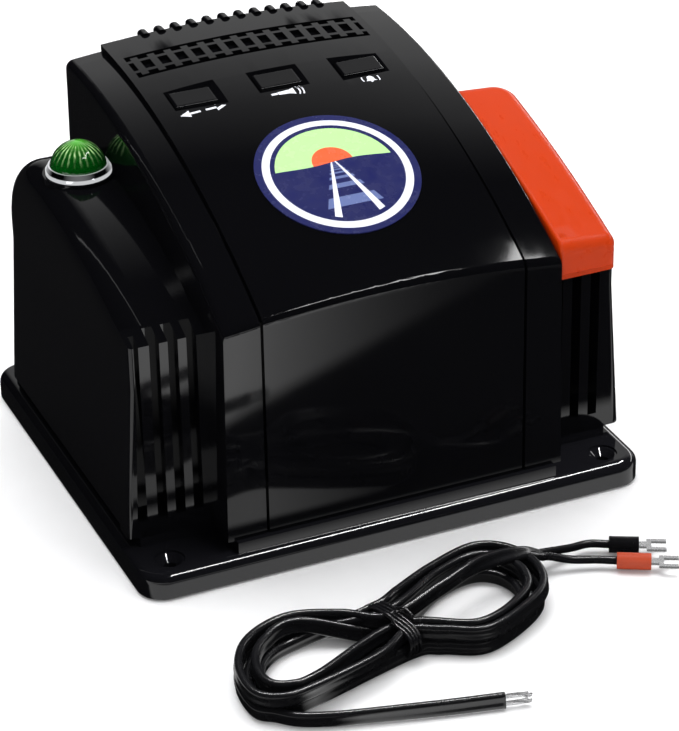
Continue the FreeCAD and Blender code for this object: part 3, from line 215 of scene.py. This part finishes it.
def jewel_green():
    """A lamp lens: deep green flanks, a lime crown painted as light coming through the lens, painted
    highlight streaks on ribs fanning out from the top, and a faint painted glow.
    """
    item = Shader("jewel_green", IOR=1.5, Roughness=0.04)
    parts = item.node("ShaderNodeSeparateXYZ", Vector=item.place)
    across = item.math("SUBTRACT", parts.outputs["X"], JEWEL.x * MM)
    along = item.math("SUBTRACT", parts.outputs["Y"], JEWEL.y * MM)
    angle = item.math("ARCTAN2", along, across)
    square = item.math("ADD", item.math("MULTIPLY", across, across), item.math("MULTIPLY", along, along))
    reach = item.math("DIVIDE", item.math("SQRT", square), JEWEL_RADIUS * MM)
    wander = item.spread(item.noise(500, 3), -0.5, 0.5)
    ribs = item.math("SINE", item.math("MULTIPLY_ADD", angle, float(JEWEL_FLUTES), wander))
    thin = item.math("POWER", item.spread(ribs, 0, 1, -0.2, 1), 2.0)
    broken = item.spread(item.noise(420, 2), 0.2, 1.0, 0.35, 0.62)
    begins = item.spread(reach, 0, 1, 0.12, 0.35)
    ends = item.spread(reach, 1, 0, 0.62, 0.93)
    ring = item.math("MULTIPLY", begins, ends)
    # Painted highlights along the flutes, and painted light that makes the crown lime over the deep green
    # lens.
    painted_highlight_streak = item.math("MULTIPLY", item.math("MULTIPLY", thin, broken), ring)
    painted_crown_light = item.math("POWER", item.spread(reach, 1, 0, 0.0, 0.85), 2.0)
    body = item.mix(painted_crown_light, linear(4, 70, 14), linear(96, 205, 62))
    colour = item.mix(painted_highlight_streak, body, linear(206, 246, 176))
    # The faint emission is a painted glow.
    item.set(
        Base_Color=colour, Emission_Color=colour, Emission_Strength=0.07,
        Transmission_Weight=0.25, Coat_Weight=1.0, Coat_Roughness=0.03,
    )
    item.bump((painted_highlight_streak, 0.0002, 0.15))
    return item.material


def badge_art():
    """A round plate: a white ring round plain track that runs to the horizon under a low sun."""
    picture, edge, ring = 20.4, 22.0, 24.6  # outer radii of the picture, its navy edge, the white ring
    horizon_height, sun_radius = 4.0, 7.0
    rails_meet = 4.6  # the height where the rails would meet; all of the track widens below it
    gauge_growth, rail_growth = 0.30, 0.045
    item = Shader("badge_art", Roughness=0.22, IOR=1.5)
    parts = item.node("ShaderNodeSeparateXYZ", Vector=item.place)
    x = item.math("DIVIDE", parts.outputs["X"], MM)
    y = item.math("DIVIDE", item.math("ADD", parts.outputs["Y"], -BADGE_Y * MM), BADGE_SLOPE * MM)
    side = item.math("ABSOLUTE", x)

    def disc(centre, radius):
        rise = item.math("SUBTRACT", y, centre)
        span = item.math("ADD", item.math("MULTIPLY", x, x), item.math("MULTIPLY", rise, rise))
        return item.math("LESS_THAN", item.math("SQRT", span), radius)

    navy, white, pale = linear(28, 32, 84), linear(226, 228, 240), linear(178, 228, 150)
    hills = item.math("SINE", item.math("MULTIPLY", x, 0.21))
    horizon = item.math("MULTIPLY_ADD", hills, 0.5, horizon_height)
    depth = item.math("SUBTRACT", rails_meet, y)
    gauge = item.math("MULTIPLY_ADD", depth, gauge_growth, 0.5)
    rail_width = item.math("MULTIPLY_ADD", depth, rail_growth, 0.22)
    off_rail = item.math("ABSOLUTE", item.math("SUBTRACT", side, gauge))
    beat = item.math("FRACT", item.math("DIVIDE", 46.0, item.math("ADD", depth, 3.2)))
    on_sleeper = item.math("LESS_THAN", side, item.math("MULTIPLY", gauge, 1.5))
    sleeper = item.math("MULTIPLY", item.math("LESS_THAN", beat, 0.42), on_sleeper)
    sky = item.mix(disc(horizon_height, sun_radius), pale, linear(232, 92, 44))
    land = item.mix(sleeper, navy, linear(96, 110, 160))
    land = item.mix(item.math("LESS_THAN", off_rail, rail_width), land, white)
    scene = item.mix(item.math("LESS_THAN", y, horizon), sky, land)
    border = item.mix(disc(0.0, edge), item.mix(disc(0.0, ring), navy, white), navy)
    colour = item.mix(disc(0.0, picture), border, scene)
    wear = item.spread(item.noise(150, 4), 0.0, 0.04)
    item.set(Base_Color=item.mix(wear, colour, linear(120, 122, 140)))
    item.set(Roughness=item.spread(item.noise(300, 4), 0.18, 0.32))
    item.bump((item.noise(1500, 2), 0.00003, 0.1))
    return item.material


def circuit_board():
    """Green solder resist over a pattern of copper runs."""
    item = Shader("circuit_board", Roughness=0.3)
    cells = item.node("ShaderNodeTexVoronoi", Vector=item.place, Scale=180)
    cells.distance = "MANHATTAN"
    beat = item.math("FRACT", item.math("MULTIPLY", cells.outputs["Distance"], 3.0))
    runs = item.math("LESS_THAN", beat, 0.35)
    item.set(Base_Color=item.mix(runs, linear(16, 74, 38), linear(34, 112, 60)))
    item.bump((runs, 0.00004, 0.4), (item.noise(1200, 2), 0.00002, 0.3))
    return item.material


def layered(name, colour, pitch, axis, dark=0.55):
    """A body built of fine layers across one axis: stacked sheets or wound wire."""
    item = Shader(name, Roughness=0.36)
    parts = item.node("ShaderNodeSeparateXYZ", Vector=item.place)
    wander = item.math("MULTIPLY", item.noise(90, 2), 0.35)
    turns = item.math("MULTIPLY_ADD", parts.outputs[axis], 2 * math.pi / pitch, wander)
    wave = item.math("SINE", turns)
    share = item.spread(wave, 0.0, 1.0, -1.0, 0.2)
    deep = tuple(channel * dark for channel in colour[:3]) + (1.0,)
    item.set(Base_Color=item.mix(share, deep, colour))
    item.bump((wave, 0.0001, 0.5))
    return item


def metal(name, colour, smooth, brushed, glow=0.5):
    """Metal with drawn or turned lines and slight tarnish, and a painted reflection of a bright studio made
    by emission; glow is how bright that painted reflection is.
    """
    item = Shader(name, Metallic=1.0)
    lines = item.noise(900, 3, 0.6, (1.0, 1.0, 0.05) if brushed else None)
    tarnish = item.noise(120, 3)
    dull = tuple(channel * 0.75 for channel in colour[:3]) + (1.0,)
    item.set(
        Base_Color=item.mix(item.spread(tarnish, 0, 0.5), colour, dull),
        Roughness=item.spread(lines, smooth * 0.7, smooth * 1.5),
    )
    item.bump((lines, 0.00003, 0.2 if brushed else 0.05))
    # Painted reflection: emission that follows the reflection direction, hidden from other glossy surfaces.
    way = item.node("ShaderNodeTexCoord").outputs["Reflection"]
    rise = item.node("ShaderNodeSeparateXYZ", Vector=way).outputs["Z"]
    above = item.spread(rise, 0.0, glow, 0.2, 0.7)
    below = item.spread(rise, 0.7 * glow, 0.0, -0.4, 0.0)
    painted_reflection_band = item.math("ADD", above, below)
    direct = item.math("SUBTRACT", 1.0, item.node("ShaderNodeLightPath").outputs["Is Glossy Ray"])
    item.set(Emission_Color=colour, Emission_Strength=item.math("MULTIPLY", painted_reflection_band, direct))
    return item.material


def clear(name, colour, roughness=0.03):
    """Clear moulded plastic or glass with slight flow lines."""
    item = Shader(name, Transmission_Weight=1.0, IOR=1.5)
    flow = item.noise(300, 2)
    pale = tuple(min(1, channel * 1.3 + 0.02) for channel in colour[:3]) + (1.0,)
    item.set(
        Base_Color=item.mix(flow, colour, pale),
        Roughness=item.spread(flow, roughness, roughness * 2.5),
    )
    item.bump((flow, 0.0002, 0.05))
    return item.material


MATERIALS = {
    "black_gloss": gloss_black(),
    "black_matte": matte_black(),
    "rubber": rubber_black(),
    "black_pvc": cord_black(),
    "orange_gloss": orange_plastic(),
    "chrome": metal("chrome", (0.80, 0.81, 0.83, 1), 0.07, False, 1.0),
    "zinc_steel": metal("zinc_steel", (0.62, 0.62, 0.60, 1), 0.32, True),
    "spring_steel": metal("spring_steel", (0.5, 0.5, 0.52, 1), 0.25, True),
    "tinned_copper": metal("tinned_copper", (0.62, 0.62, 0.63, 1), 0.25, False, 0.35),
    "brass": metal("brass", (0.80, 0.60, 0.26, 1), 0.22, True),
    "aluminium": metal("aluminium", (0.66, 0.67, 0.69, 1), 0.35, True),
    "laminations": layered("laminations", linear(70, 70, 74), 1.0 * MM, "Y").material,
    "copper_winding": layered("copper_winding", linear(196, 112, 44), 0.9 * MM, "Z").material,
    "bobbin_nylon": moulded("bobbin_nylon", linear(226, 222, 206), 0.4, 0.2).material,
    "pcb_green": circuit_board(),
    "red_plastic": moulded("red_plastic", linear(176, 22, 16), 0.25, 0.1).material,
    "red_vinyl": sleeve_red(),
    "capacitor_sleeve": moulded("capacitor_sleeve", linear(30, 36, 62), 0.25, 0.1).material,
    "green_lens": jewel_green(),
    "clear_glass": clear("clear_glass", (0.95, 0.95, 0.9, 1)),
    "fuse_glass": clear("fuse_glass", (0.9, 0.93, 0.9, 1)),
    "badge_print": badge_art(),
    "sign_white": moulded("sign_white", linear(232, 234, 242), 0.35, 0.1, 0.0, 0.04).material,
}
for row in frame["record"]["subparts"]:
    mesh = NODES[row["node"]].data
    mesh.materials.clear()
    mesh.materials.append(MATERIALS[row["material_slot"]])


# ---------------------------------------------------------------- mesh helpers

CORE = 1.3  # from the middle of the twin cord to the middle of either core, mm


def make_piece(name, mesh, material, body, replaced=()):
    """Put a finished mesh in the scene, riding on a CAD body."""
    mesh.name = name
    mesh.materials.append(material)
    item = bpy.data.objects.new(name, mesh)
    bpy.context.scene.collection.objects.link(item)
    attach(item, body)
    if replaced:
        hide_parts(*replaced)
    return item


def spline(points, step):
    """Points along a Catmull-Rom curve through the given ones, about a step apart."""
    ends = [2 * points[0] - points[1]] + points + [2 * points[-1] - points[-2]]
    line = []
    for first, second, third, fourth in zip(ends, ends[1:], ends[2:], ends[3:]):
        count = max(2, round((third - second).length / step))
        for number in range(count):
            t = number / count
            line.append(0.5 * (
                2 * second + (third - first) * t
                + (2 * first - 5 * second + 4 * third - fourth) * t ** 2
                + (3 * second - first - 3 * third + fourth) * t ** 3
            ))
    line.append(points[-1].copy())
    return line


def bridge(shape, lower, upper):
    """Faces between two closed rings of as many corners."""
    size = len(lower)
    for number in range(size):
        following = (number + 1) % size
        shape.faces.new((lower[number], lower[following], upper[following], upper[number]))


def sweep(shape, line, section, roll=None):
    """Sweep a closed section along a line; roll turns its long side away from upright."""
    rings = []
    last = len(line) - 1
    for number, place in enumerate(line):
        along = (line[min(number + 1, last)] - line[max(number - 1, 0)]).normalized()
        aside = along.cross(Vector((0, 0, 1))).normalized()
        upright = aside.cross(along)
        turn = roll(number / last) if roll else 0.0
        long_side = upright * math.cos(turn) + aside * math.sin(turn)
        short_side = long_side.cross(along)
        rings.append([
            shape.verts.new((place + long_side * a + short_side * b) * MM) for a, b in section
        ])
    for lower, upper in zip(rings, rings[1:]):
        bridge(shape, lower, upper)
    shape.faces.new(rings[0][::-1])
    shape.faces.new(rings[-1])


def circle(radius, count=12):
    """A round section."""
    return [
        (radius * math.cos(2 * math.pi * number / count),
         radius * math.sin(2 * math.pi * number / count))
        for number in range(count)
    ]


def twin_section(radius=1.36, half_gap=CORE, count=11, reach=124):
    """The figure-of-eight outline of twin cord, its long side along the first axis."""
    outline = []
    for side in (1, -1):
        for number in range(count):
            angle = math.radians(-reach + 2 * reach * number / (count - 1))
            outline.append((
                side * (half_gap + radius * math.cos(angle)), side * radius * math.sin(angle)
            ))
    return outline


def finished(shape, smooth=True):
    """A mesh from a bmesh, its faces turned outward."""
    bmesh.ops.recalc_face_normals(shape, faces=shape.faces)
    mesh = bpy.data.meshes.new("piece")
    shape.to_mesh(mesh)
    shape.free()
    for face in mesh.polygons:
        face.use_smooth = smooth and len(face.vertices) <= 4
    return mesh


# ---------------------------------------------------------------- the tied track lead

HANK = Vector((-28, -130, 0))
HANK_TURN = math.radians(14)
LEFT_LOBE = (
    (-10, 13), (-24, 22), (-40, 20), (-51, 10), (-55.5, -4), (-50, -11.5), (-38, -13), (-14, -12),
)
RIGHT_LOBE = (
    (9, -14), (21, -22.5), (45, -17), (54.5, -6), (54.5, 8), (46, 16.5), (28, 15.5), (12, 12),
)
LOW, HIGH = 2.85, 8.15  # heights of the two layers of cord
WAIST = 8.2  # height at which the upper layer runs through the tie
TURNS = (  # the lobe, its width, its layer, and where it next crosses the tie
    (LEFT_LOBE, 1.0, HIGH, -7.4), (RIGHT_LOBE, 1.0, HIGH, 9.2),
    (LEFT_LOBE, 0.70, LOW, -3.2), (RIGHT_LOBE, 0.70, LOW, 3.0),
    (LEFT_LOBE, 0.76, HIGH, -3.4), (RIGHT_LOBE, 0.78, HIGH, 5.2),
    (LEFT_LOBE, 0.86, LOW, -9.4), (RIGHT_LOBE, 0.96, LOW, 9.6),
)
TAIL = (
    (-76, -152.5), (-70.5, -157.4), (-60.4, -161.7), (-47.8, -165.3), (-28.4, -170.5), (-11.5, -174.4),
)


def hank_point(x, y, z):
    """A point given along and across the tied hank."""
    return HANK + Vector((
        x * math.cos(HANK_TURN) - y * math.sin(HANK_TURN),
        x * math.sin(HANK_TURN) + y * math.cos(HANK_TURN),
        z,
    ))


def lobe(outline, scale, level, stop=None):
    """One half turn of cord; a tight one is also a little shorter and runs straight out of the tie."""
    tight = scale <= 0.9
    middle = sum(y for x, y in outline) / len(outline)
    corners = outline[1:-1] if tight else outline[:stop]
    return [
        hank_point(x * (1 - (1 - scale) * abs(x) / 120), middle + (y - middle) * scale, level)
        for x, y in corners
    ]


def lead_path():
    """The twin cord's centre line: lug end, four and a half turns, bare end."""
    lug_end = ((62.5, 2.2, 6.6), (54, 2.2, 10.6), (37.5, 2.8, 13.2), (19.8, 1.0, 12.0), (0, 1.0, 9.0))
    path = [hank_point(*place) for place in lug_end]
    for outline, scale, level, crossing in TURNS:
        path += lobe(outline, scale, level)
        path.append(hank_point(0, crossing, WAIST if level == HIGH else LOW))
    path += lobe(LEFT_LOBE, 1.0, LOW, 5)
    path += [Vector((x, y, LOW)) for x, y in TAIL]
    return path


def lead_roll(share):
    """The cord lies flat at its lug end and stands on edge elsewhere, wandering a little."""
    flat_share, wander, waves = 0.028, 0.22, 55
    flat = max(0.0, 1 - share / flat_share)
    return math.pi / 2 * flat + wander * math.sin(waves * share) * min(1.0, 8 * share)


def add_track_lead():
    """The twin cord, and its two cores parted at the lug end, each into its sleeve."""
    shape = bmesh.new()
    line = spline(lead_path(), 1.4)
    sweep(shape, line, twin_section(), lead_roll)
    across = Vector((math.sin(HANK_TURN), -math.cos(HANK_TURN), 0)) * CORE
    parted = (
        (-across, 0.6, ((44, -109.4, 4.1), (51.4, -108.9, 3.5), (57.6, -112.1, 3.4))),
        (across, 0.2, ((41.5, -115.8, 4.1), (49, -118.3, 3.5), (55.3, -121.7, 3.4))),
    )
    for offset, stray, places in parted:
        start = line[0] + offset
        route = [start + Vector((-1, -0.2, 0.3)), start + Vector((2, stray, -0.5))]
        route += [Vector(place) for place in places]
        sweep(shape, spline(route, 1.0), circle(1.34, 16))
    return make_piece("twin_track_lead", finished(shape), MATERIALS["black_pvc"], "loose_track_lead",
                      ("track_lead_cable",))


def add_bare_ends():
    """Two tinned bundles of fine strands, a little twisted and splayed."""
    strands, bundle, strand, length, twist = 9, 0.78, 0.24, 8.2, 1.5
    shape = bmesh.new()
    along = Vector((16.9, -3.9, 0)).normalized()
    aside = Vector((-along.y, along.x, 0))
    for core in (-1, 1):
        root = Vector((-12.2, -174.24, LOW + CORE * core))
        for number in range(strands):
            angle = 2.4 * number
            spread = bundle * math.sqrt(number / (strands - 1))
            offset = aside * (spread * math.cos(angle)) + Vector((0, 0, spread * math.sin(angle)))
            turned = aside * (spread * math.cos(angle + twist))
            turned += Vector((0, 0, spread * math.sin(angle + twist)))
            tip = root + along * (length + 0.9 * math.sin(7 * number)) + turned * 1.35
            tip += Vector((0, 0, -0.25 * core))
            middle = root + along * 4.2 + (offset + turned) * 0.6
            sweep(shape, spline([root + offset, middle, tip], 1.2), circle(strand, 6))
    make_piece("bare_strands", finished(shape), MATERIALS["tinned_copper"], "loose_track_lead",
               ("tinned_ends",))


def add_wire_tie():
    """Four wraps of coated wire round the hank, with two loose ends."""
    steps, wraps, width, wire = 40, 4, 5.2, 0.62
    half_depth, half_height, middle, floor = 12.4, 5.3, 6.1, 0.75

    def squared(value):
        return math.copysign(abs(value) ** 0.8, value)

    shape = bmesh.new()
    route = []
    for number in range(wraps * steps + 1):
        angle = 2 * math.pi * number / steps + 1.9
        x = -width / 2 + width * number / (wraps * steps) + 0.3 * math.sin(3.1 * angle)
        y = half_depth * squared(math.cos(angle))
        z = middle + half_height * squared(math.sin(angle))
        route.append(hank_point(x, y, max(z, floor)))
    head = [route[0] + Vector(step) for step in ((-1.5, 5.2, 1.8), (-0.8, 3.0, 1.9), (-0.2, 1.1, 0.9))]
    foot = [route[-1] + Vector(step) for step in ((0.4, -1.0, 1.1), (-0.6, 2.6, 2.4), (-2.4, 4.6, 1.6))]
    sweep(shape, spline(head + route[::2] + foot, 0.9), circle(wire, 10))
    return make_piece("wire_tie", finished(shape), MATERIALS["black_pvc"], "loose_track_lead",
                      ("track_lead_tie",))


# ---------------------------------------------------------------- the pilot jewel

def add_jewel():
    """A domed lens with shallow flutes round its shoulder and a plain crown."""
    around, rows = 96, 22
    flute_depth, tallness = 0.010, 1.02
    shape = bmesh.new()
    rings = []
    for row in range(rows):
        lift = math.radians(86 * row / (rows - 1))
        ring = []
        for number in range(around):
            angle = 2 * math.pi * number / around
            flute = 1 - flute_depth * math.cos(JEWEL_FLUTES * angle) * math.cos(lift) ** 2
            out = JEWEL_RADIUS * math.cos(lift) * flute
            height = tallness * JEWEL_RADIUS * math.sin(lift)
            place = JEWEL + Vector((out * math.cos(angle), out * math.sin(angle), height))
            ring.append(shape.verts.new(place * MM))
        rings.append(ring)
    for lower, upper in zip(rings, rings[1:]):
        bridge(shape, lower, upper)
    top = shape.verts.new((JEWEL + Vector((0, 0, (tallness + 0.001) * JEWEL_RADIUS))) * MM)
    for number in range(around):
        shape.faces.new((rings[-1][number], rings[-1][(number + 1) % around], top))
    shape.faces.new(rings[0][::-1])
    make_piece("fluted_jewel", finished(shape), MATERIALS["green_lens"], "case",
               ("lamp_jewel",))


# ---------------------------------------------------------------- signs beneath the keys

SIGN_Y = 11.4  # the row of signs, mm
INK = 0.05  # half the thickness of a sign, mm


def on_panel(tree, x, y, lift):
    """A point on the centre panel's top, raised by a lift in mm."""
    place = tree.ray_cast(Vector((x, y, 200)) * MM, Vector((0, 0, -1)))[0]
    return place + Vector((0, 0, lift * MM))


def add_sign(name, x, outlines):
    """Thin printed shapes laid on the centre panel, which follow its crown."""
    panel = NODES["centre_panel"].data
    tree = BVHTree.FromPolygons(
        [vertex.co for vertex in panel.vertices], [face.vertices for face in panel.polygons]
    )
    shape = bmesh.new()
    for outline in outlines:
        rows = []
        for lift in (-INK, INK):
            rows.append([shape.verts.new(on_panel(tree, x + a, SIGN_Y + b, lift)) for a, b in outline])
        low, high = rows
        bridge(shape, low, high)
        shape.faces.new(low[::-1])
        shape.faces.new(high)
    make_piece(name, finished(shape, False), MATERIALS["sign_white"], "case", ())


def arc(radius, start, stop, width, centre=(0, 0), count=7):
    """A curved stroke as a closed outline."""
    angles = [math.radians(start + (stop - start) * number / count) for number in range(count + 1)]
    outer = [(centre[0] + radius * math.cos(a), centre[1] + radius * math.sin(a)) for a in angles]
    inner = [
        (centre[0] + (radius - width) * math.cos(a), centre[1] + (radius - width) * math.sin(a))
        for a in reversed(angles)
    ]
    return outer + inner


def add_signs():
    """A two-headed arrow, a horn and a bell, one below each key."""
    arrows = []
    for side in (-1, 1):
        head = ((8, 0), (4.6, 1.75), (4.6, -1.75))
        shaft = ((4.6, 0.45), (0.9, 0.45), (0.9, -0.45), (4.6, -0.45))
        arrows += [[(side * a, b) for a, b in outline] for outline in (head, shaft)]
    add_sign("sign_direction", -KEY_X, arrows)
    horn = [
        [(-5.8, 0.5), (-5.8, -0.5), (-3.6, -0.5), (-3.6, 0.5)],
        [(-3.4, 0.7), (-3.4, -0.7), (0.6, -1.0), (0.6, 1.0)],
        [(0.6, 1.0), (0.6, -1.0), (2.4, -1.75), (2.4, 1.75)],
        arc(4.4, -32, 32, 0.5),
        arc(5.6, -26, 26, 0.5, (0.1, 0)),
    ]
    add_sign("sign_horn", 0, horn)
    above = [math.pi * number / 8 for number in range(9)]
    below = [math.pi * (1 + number / 6) for number in range(7)]
    dome = [(1.25 * math.cos(a), 0.2 + 1.35 * math.sin(a)) for a in above]
    clapper = [(0.55 * math.cos(a), -1.3 + 0.5 * math.sin(a)) for a in below]
    bell = [
        dome + [(-1.35, -0.5), (-2.0, -1.15), (2.0, -1.15), (1.35, -0.5)],
        clapper,
        arc(3.3, -24, 24, 0.45),
        arc(3.3, 156, 204, 0.45),
    ]
    add_sign("sign_bell", KEY_X, bell)


track_lead = add_track_lead()
add_bare_ends()
wire_tie = add_wire_tie()
add_jewel()
add_signs()


# ---------------------------------------------------------------- stage, light and camera

FACE_Y = -0.0735  # the case's front face, m
RUN = 1.676  # a point this far ahead on the floor mirrors in the face one unit up
DRIFT = 0.4272  # and this far to the right for each unit ahead


def stage_material():
    """A pale matt floor that glossy surfaces see as dark, with glowing patches, seen only in reflections,
    that paint reflections onto the case's front face.
    """
    item = Shader("pale_floor", Roughness=0.9, Specular_IOR_Level=0.0)
    grain = item.spread(item.noise(60, 2), 0.985, 1.0)
    parts = item.node("ShaderNodeSeparateXYZ", Vector=item.place)
    ahead = item.math("SUBTRACT", FACE_Y, parts.outputs["Y"])
    height = item.math("DIVIDE", ahead, RUN)
    across = item.math("MULTIPLY_ADD", ahead, -DRIFT, parts.outputs["X"])

    def painted_reflection_band(start, full, fading, stop):
        """One from full to fading, falling to nothing at start and stop, by mirrored height."""
        rising = item.spread(height, 0.0, 1.0, start, full)
        return item.math("MULTIPLY", rising, item.spread(height, 1.0, 0.0, fading, stop))

    # Painted reflections: the masks below place glowing floor patches where they mirror onto the case's
    # front face.
    fade = item.spread(across, 1.0, 0.0, -0.060, 0.045)
    fade = item.math("MULTIPLY_ADD", item.math("POWER", fade, 2.2), 0.96, 0.04)
    edge = item.math("MULTIPLY_ADD", across, 0.33, 0.074)
    lit = item.spread(item.math("SUBTRACT", height, edge), 0.0, 1.0, 0.0, 0.006)
    near = item.spread(across, 0.0, 1.0, -0.100, -0.094)
    sheen = item.math("MULTIPLY", item.math("MULTIPLY", lit, fade), near)
    rim = item.math("MULTIPLY", painted_reflection_band(0.001, 0.002, 0.010, 0.014), 0.7)
    foot = item.math("MULTIPLY", painted_reflection_band(0.016, 0.018, 0.029, 0.031),
                     item.spread(across, 0.5, 0.0, -0.050, 0.0))
    side = item.math("MULTIPLY", item.spread(across, 0.6, 0.0, -0.150, -0.125),
                     item.spread(height, 0.0, 1.0, 0.0, 0.01))
    painted_reflection = item.math("MAXIMUM", item.math("MAXIMUM", sheen, rim), item.math("MAXIMUM", foot, side))
    glossy = item.node("ShaderNodeLightPath").outputs["Is Glossy Ray"]
    level = item.math("MULTIPLY", item.math("MULTIPLY_ADD", glossy, -0.99, 1.0), grain)
    # The emission is a painted reflection, seen only by glossy rays.
    item.set(
        Base_Color=item.mix(level, (0, 0, 0, 1), (0.95, 0.95, 0.96, 1)),
        Emission_Color=(1, 1, 1, 1),
        Emission_Strength=item.math("MULTIPLY", item.math("MULTIPLY", painted_reflection, glossy), 1.7),
    )
    return item.material


def add_floor():
    """A wide flat stage."""
    mesh = bpy.data.meshes.new("floor")
    half = 6.0
    corners = [(-half, -half, 0), (half, -half, 0), (half, half, 0), (-half, half, 0)]
    mesh.from_pydata(corners, [], [(0, 1, 2, 3)])
    mesh.materials.append(stage_material())
    floor = bpy.data.objects.new("floor", mesh)
    bpy.context.scene.collection.objects.link(floor)


def add_light(name, place, target, width, height, power, mirrored):
    """A soft rectangular lamp; one that isn't mirrored lights surfaces without showing in them."""
    light = bpy.data.lights.new(name, "AREA")
    light.shape = "RECTANGLE"
    light.size = width
    light.size_y = height
    light.energy = power
    item = bpy.data.objects.new(name, light)
    item.location = place
    item.rotation_euler = (Vector(target) - Vector(place)).to_track_quat("-Z", "Y").to_euler()
    item.visible_glossy = mirrored
    bpy.context.scene.collection.objects.link(item)
    return item


def light_only(lamp, name, *items):
    """Let a lamp light these objects and no others."""
    group = bpy.data.collections.new(name)
    for item in items:
        group.objects.link(item)
    lamp.light_linking.receiver_collection = group


def add_world():
    """A pale studio: white to the camera, soft to matt surfaces, and to glossy ones dark
    apart from one low glow behind and to the right."""
    world = bpy.data.worlds.new("studio")
    bpy.context.scene.world = world
    world.use_nodes = True
    tree = world.node_tree
    back = tree.nodes["Background"]

    def node(kind, *joins, **values):
        item = tree.nodes.new(kind)
        for name, value in values.items():
            item.inputs[name.replace("_", " ")].default_value = value
        for source, target in joins:
            tree.links.new(source, item.inputs[target])
        return item

    paths = node("ShaderNodeLightPath")
    way = node("ShaderNodeTexCoord")
    parts = node("ShaderNodeSeparateXYZ", (way.outputs["Generated"], "Vector"))
    behind = node("ShaderNodeMapRange", (parts.outputs["Y"], "Value"),
                  From_Min=0.30, From_Max=0.50, To_Min=0.0, To_Max=0.52)
    low = node("ShaderNodeMapRange", (parts.outputs["Z"], "Value"),
               From_Min=0.52, From_Max=0.86, To_Min=1.0, To_Max=0.0)
    right = node("ShaderNodeMapRange", (parts.outputs["X"], "Value"), From_Min=-0.10, From_Max=0.20)
    side = node("ShaderNodeMath", (behind.outputs[0], 0), (right.outputs[0], 1))
    side.operation = "MULTIPLY"
    glow = node("ShaderNodeMath", (side.outputs[0], 0), (low.outputs[0], 1))
    glow.operation = "MULTIPLY"
    ambient = node("ShaderNodeMapRange", (paths.outputs["Is Camera Ray"], "Value"), To_Min=0.55, To_Max=1.0)
    level = node("ShaderNodeMix", (paths.outputs["Is Glossy Ray"], 0),
                 (ambient.outputs[0], 2), (glow.outputs[0], 3))
    tree.links.new(level.outputs[0], back.inputs["Strength"])
    back.inputs["Color"].default_value = (1, 1, 1, 1)


def add_camera():
    """The viewpoint: in front, to the left of the unit and above it, through a long lens."""
    azimuth, elevation, roll = (math.radians(angle) for angle in (-23.14, 28.75, -1.13))
    distance, aside, above = 1.02433, 0.0103, 0.02377
    back = Vector((
        math.sin(azimuth) * math.cos(elevation),
        -math.cos(azimuth) * math.cos(elevation),
        math.sin(elevation),
    ))
    level = Vector((math.cos(azimuth), math.sin(azimuth), 0))
    upright = back.cross(level)
    right = level * math.cos(roll) + upright * math.sin(roll)
    up = upright * math.cos(roll) - level * math.sin(roll)
    camera = bpy.data.cameras.new("camera")
    camera.lens = 145.67
    camera.sensor_width = 36.0
    camera.clip_start = 0.05
    item = bpy.data.objects.new("camera", camera)
    place = back * distance + right * aside + up * above
    item.matrix_world = Matrix((
        (right.x, up.x, back.x, place.x),
        (right.y, up.y, back.y, place.y),
        (right.z, up.z, back.z, place.z),
        (0, 0, 0, 1),
    ))
    bpy.context.scene.collection.objects.link(item)
    bpy.context.scene.camera = item


CASE = (0, 0, 0.05)
CORD = (0, -0.13, 0)
LAMPS = (  # name, place, what it points at, width, height in metres, power in watts, seen in mirrors
    ("overhead", (0.0, 0.3, 1.4), CASE, 1.2, 1.0, 19, False),
    ("front_fill", (-0.5, -1.2, 0.7), CASE, 0.9, 0.7, 4, False),
    ("left_strip", (-0.50, 0.55, 1.15), CASE, 0.03, 1.7, 0.16, True),
    ("right_strip", (1.15, 0.45, 0.45), CASE, 1.4, 0.10, 3, True),
    ("edge_strip", (0.50, -0.33, 1.15), CASE, 0.9, 0.06, 2, True),
    ("rim_strip", (0.50, -0.33, 1.15), CASE, 1.2, 0.08, 45, True),
    ("cord_strip", (0.20, 0.25, 1.10), CORD, 1.0, 0.05, 16, True),
)

add_floor()
add_world()
lamps = {lamp[0]: add_light(*lamp) for lamp in LAMPS}
light_only(lamps["rim_strip"], "rim_lit", NODES["base_plate"])
light_only(lamps["cord_strip"], "cord_lit", track_lead, wire_tie)
add_camera()
bpy.context.scene.view_settings.view_transform = "Standard"
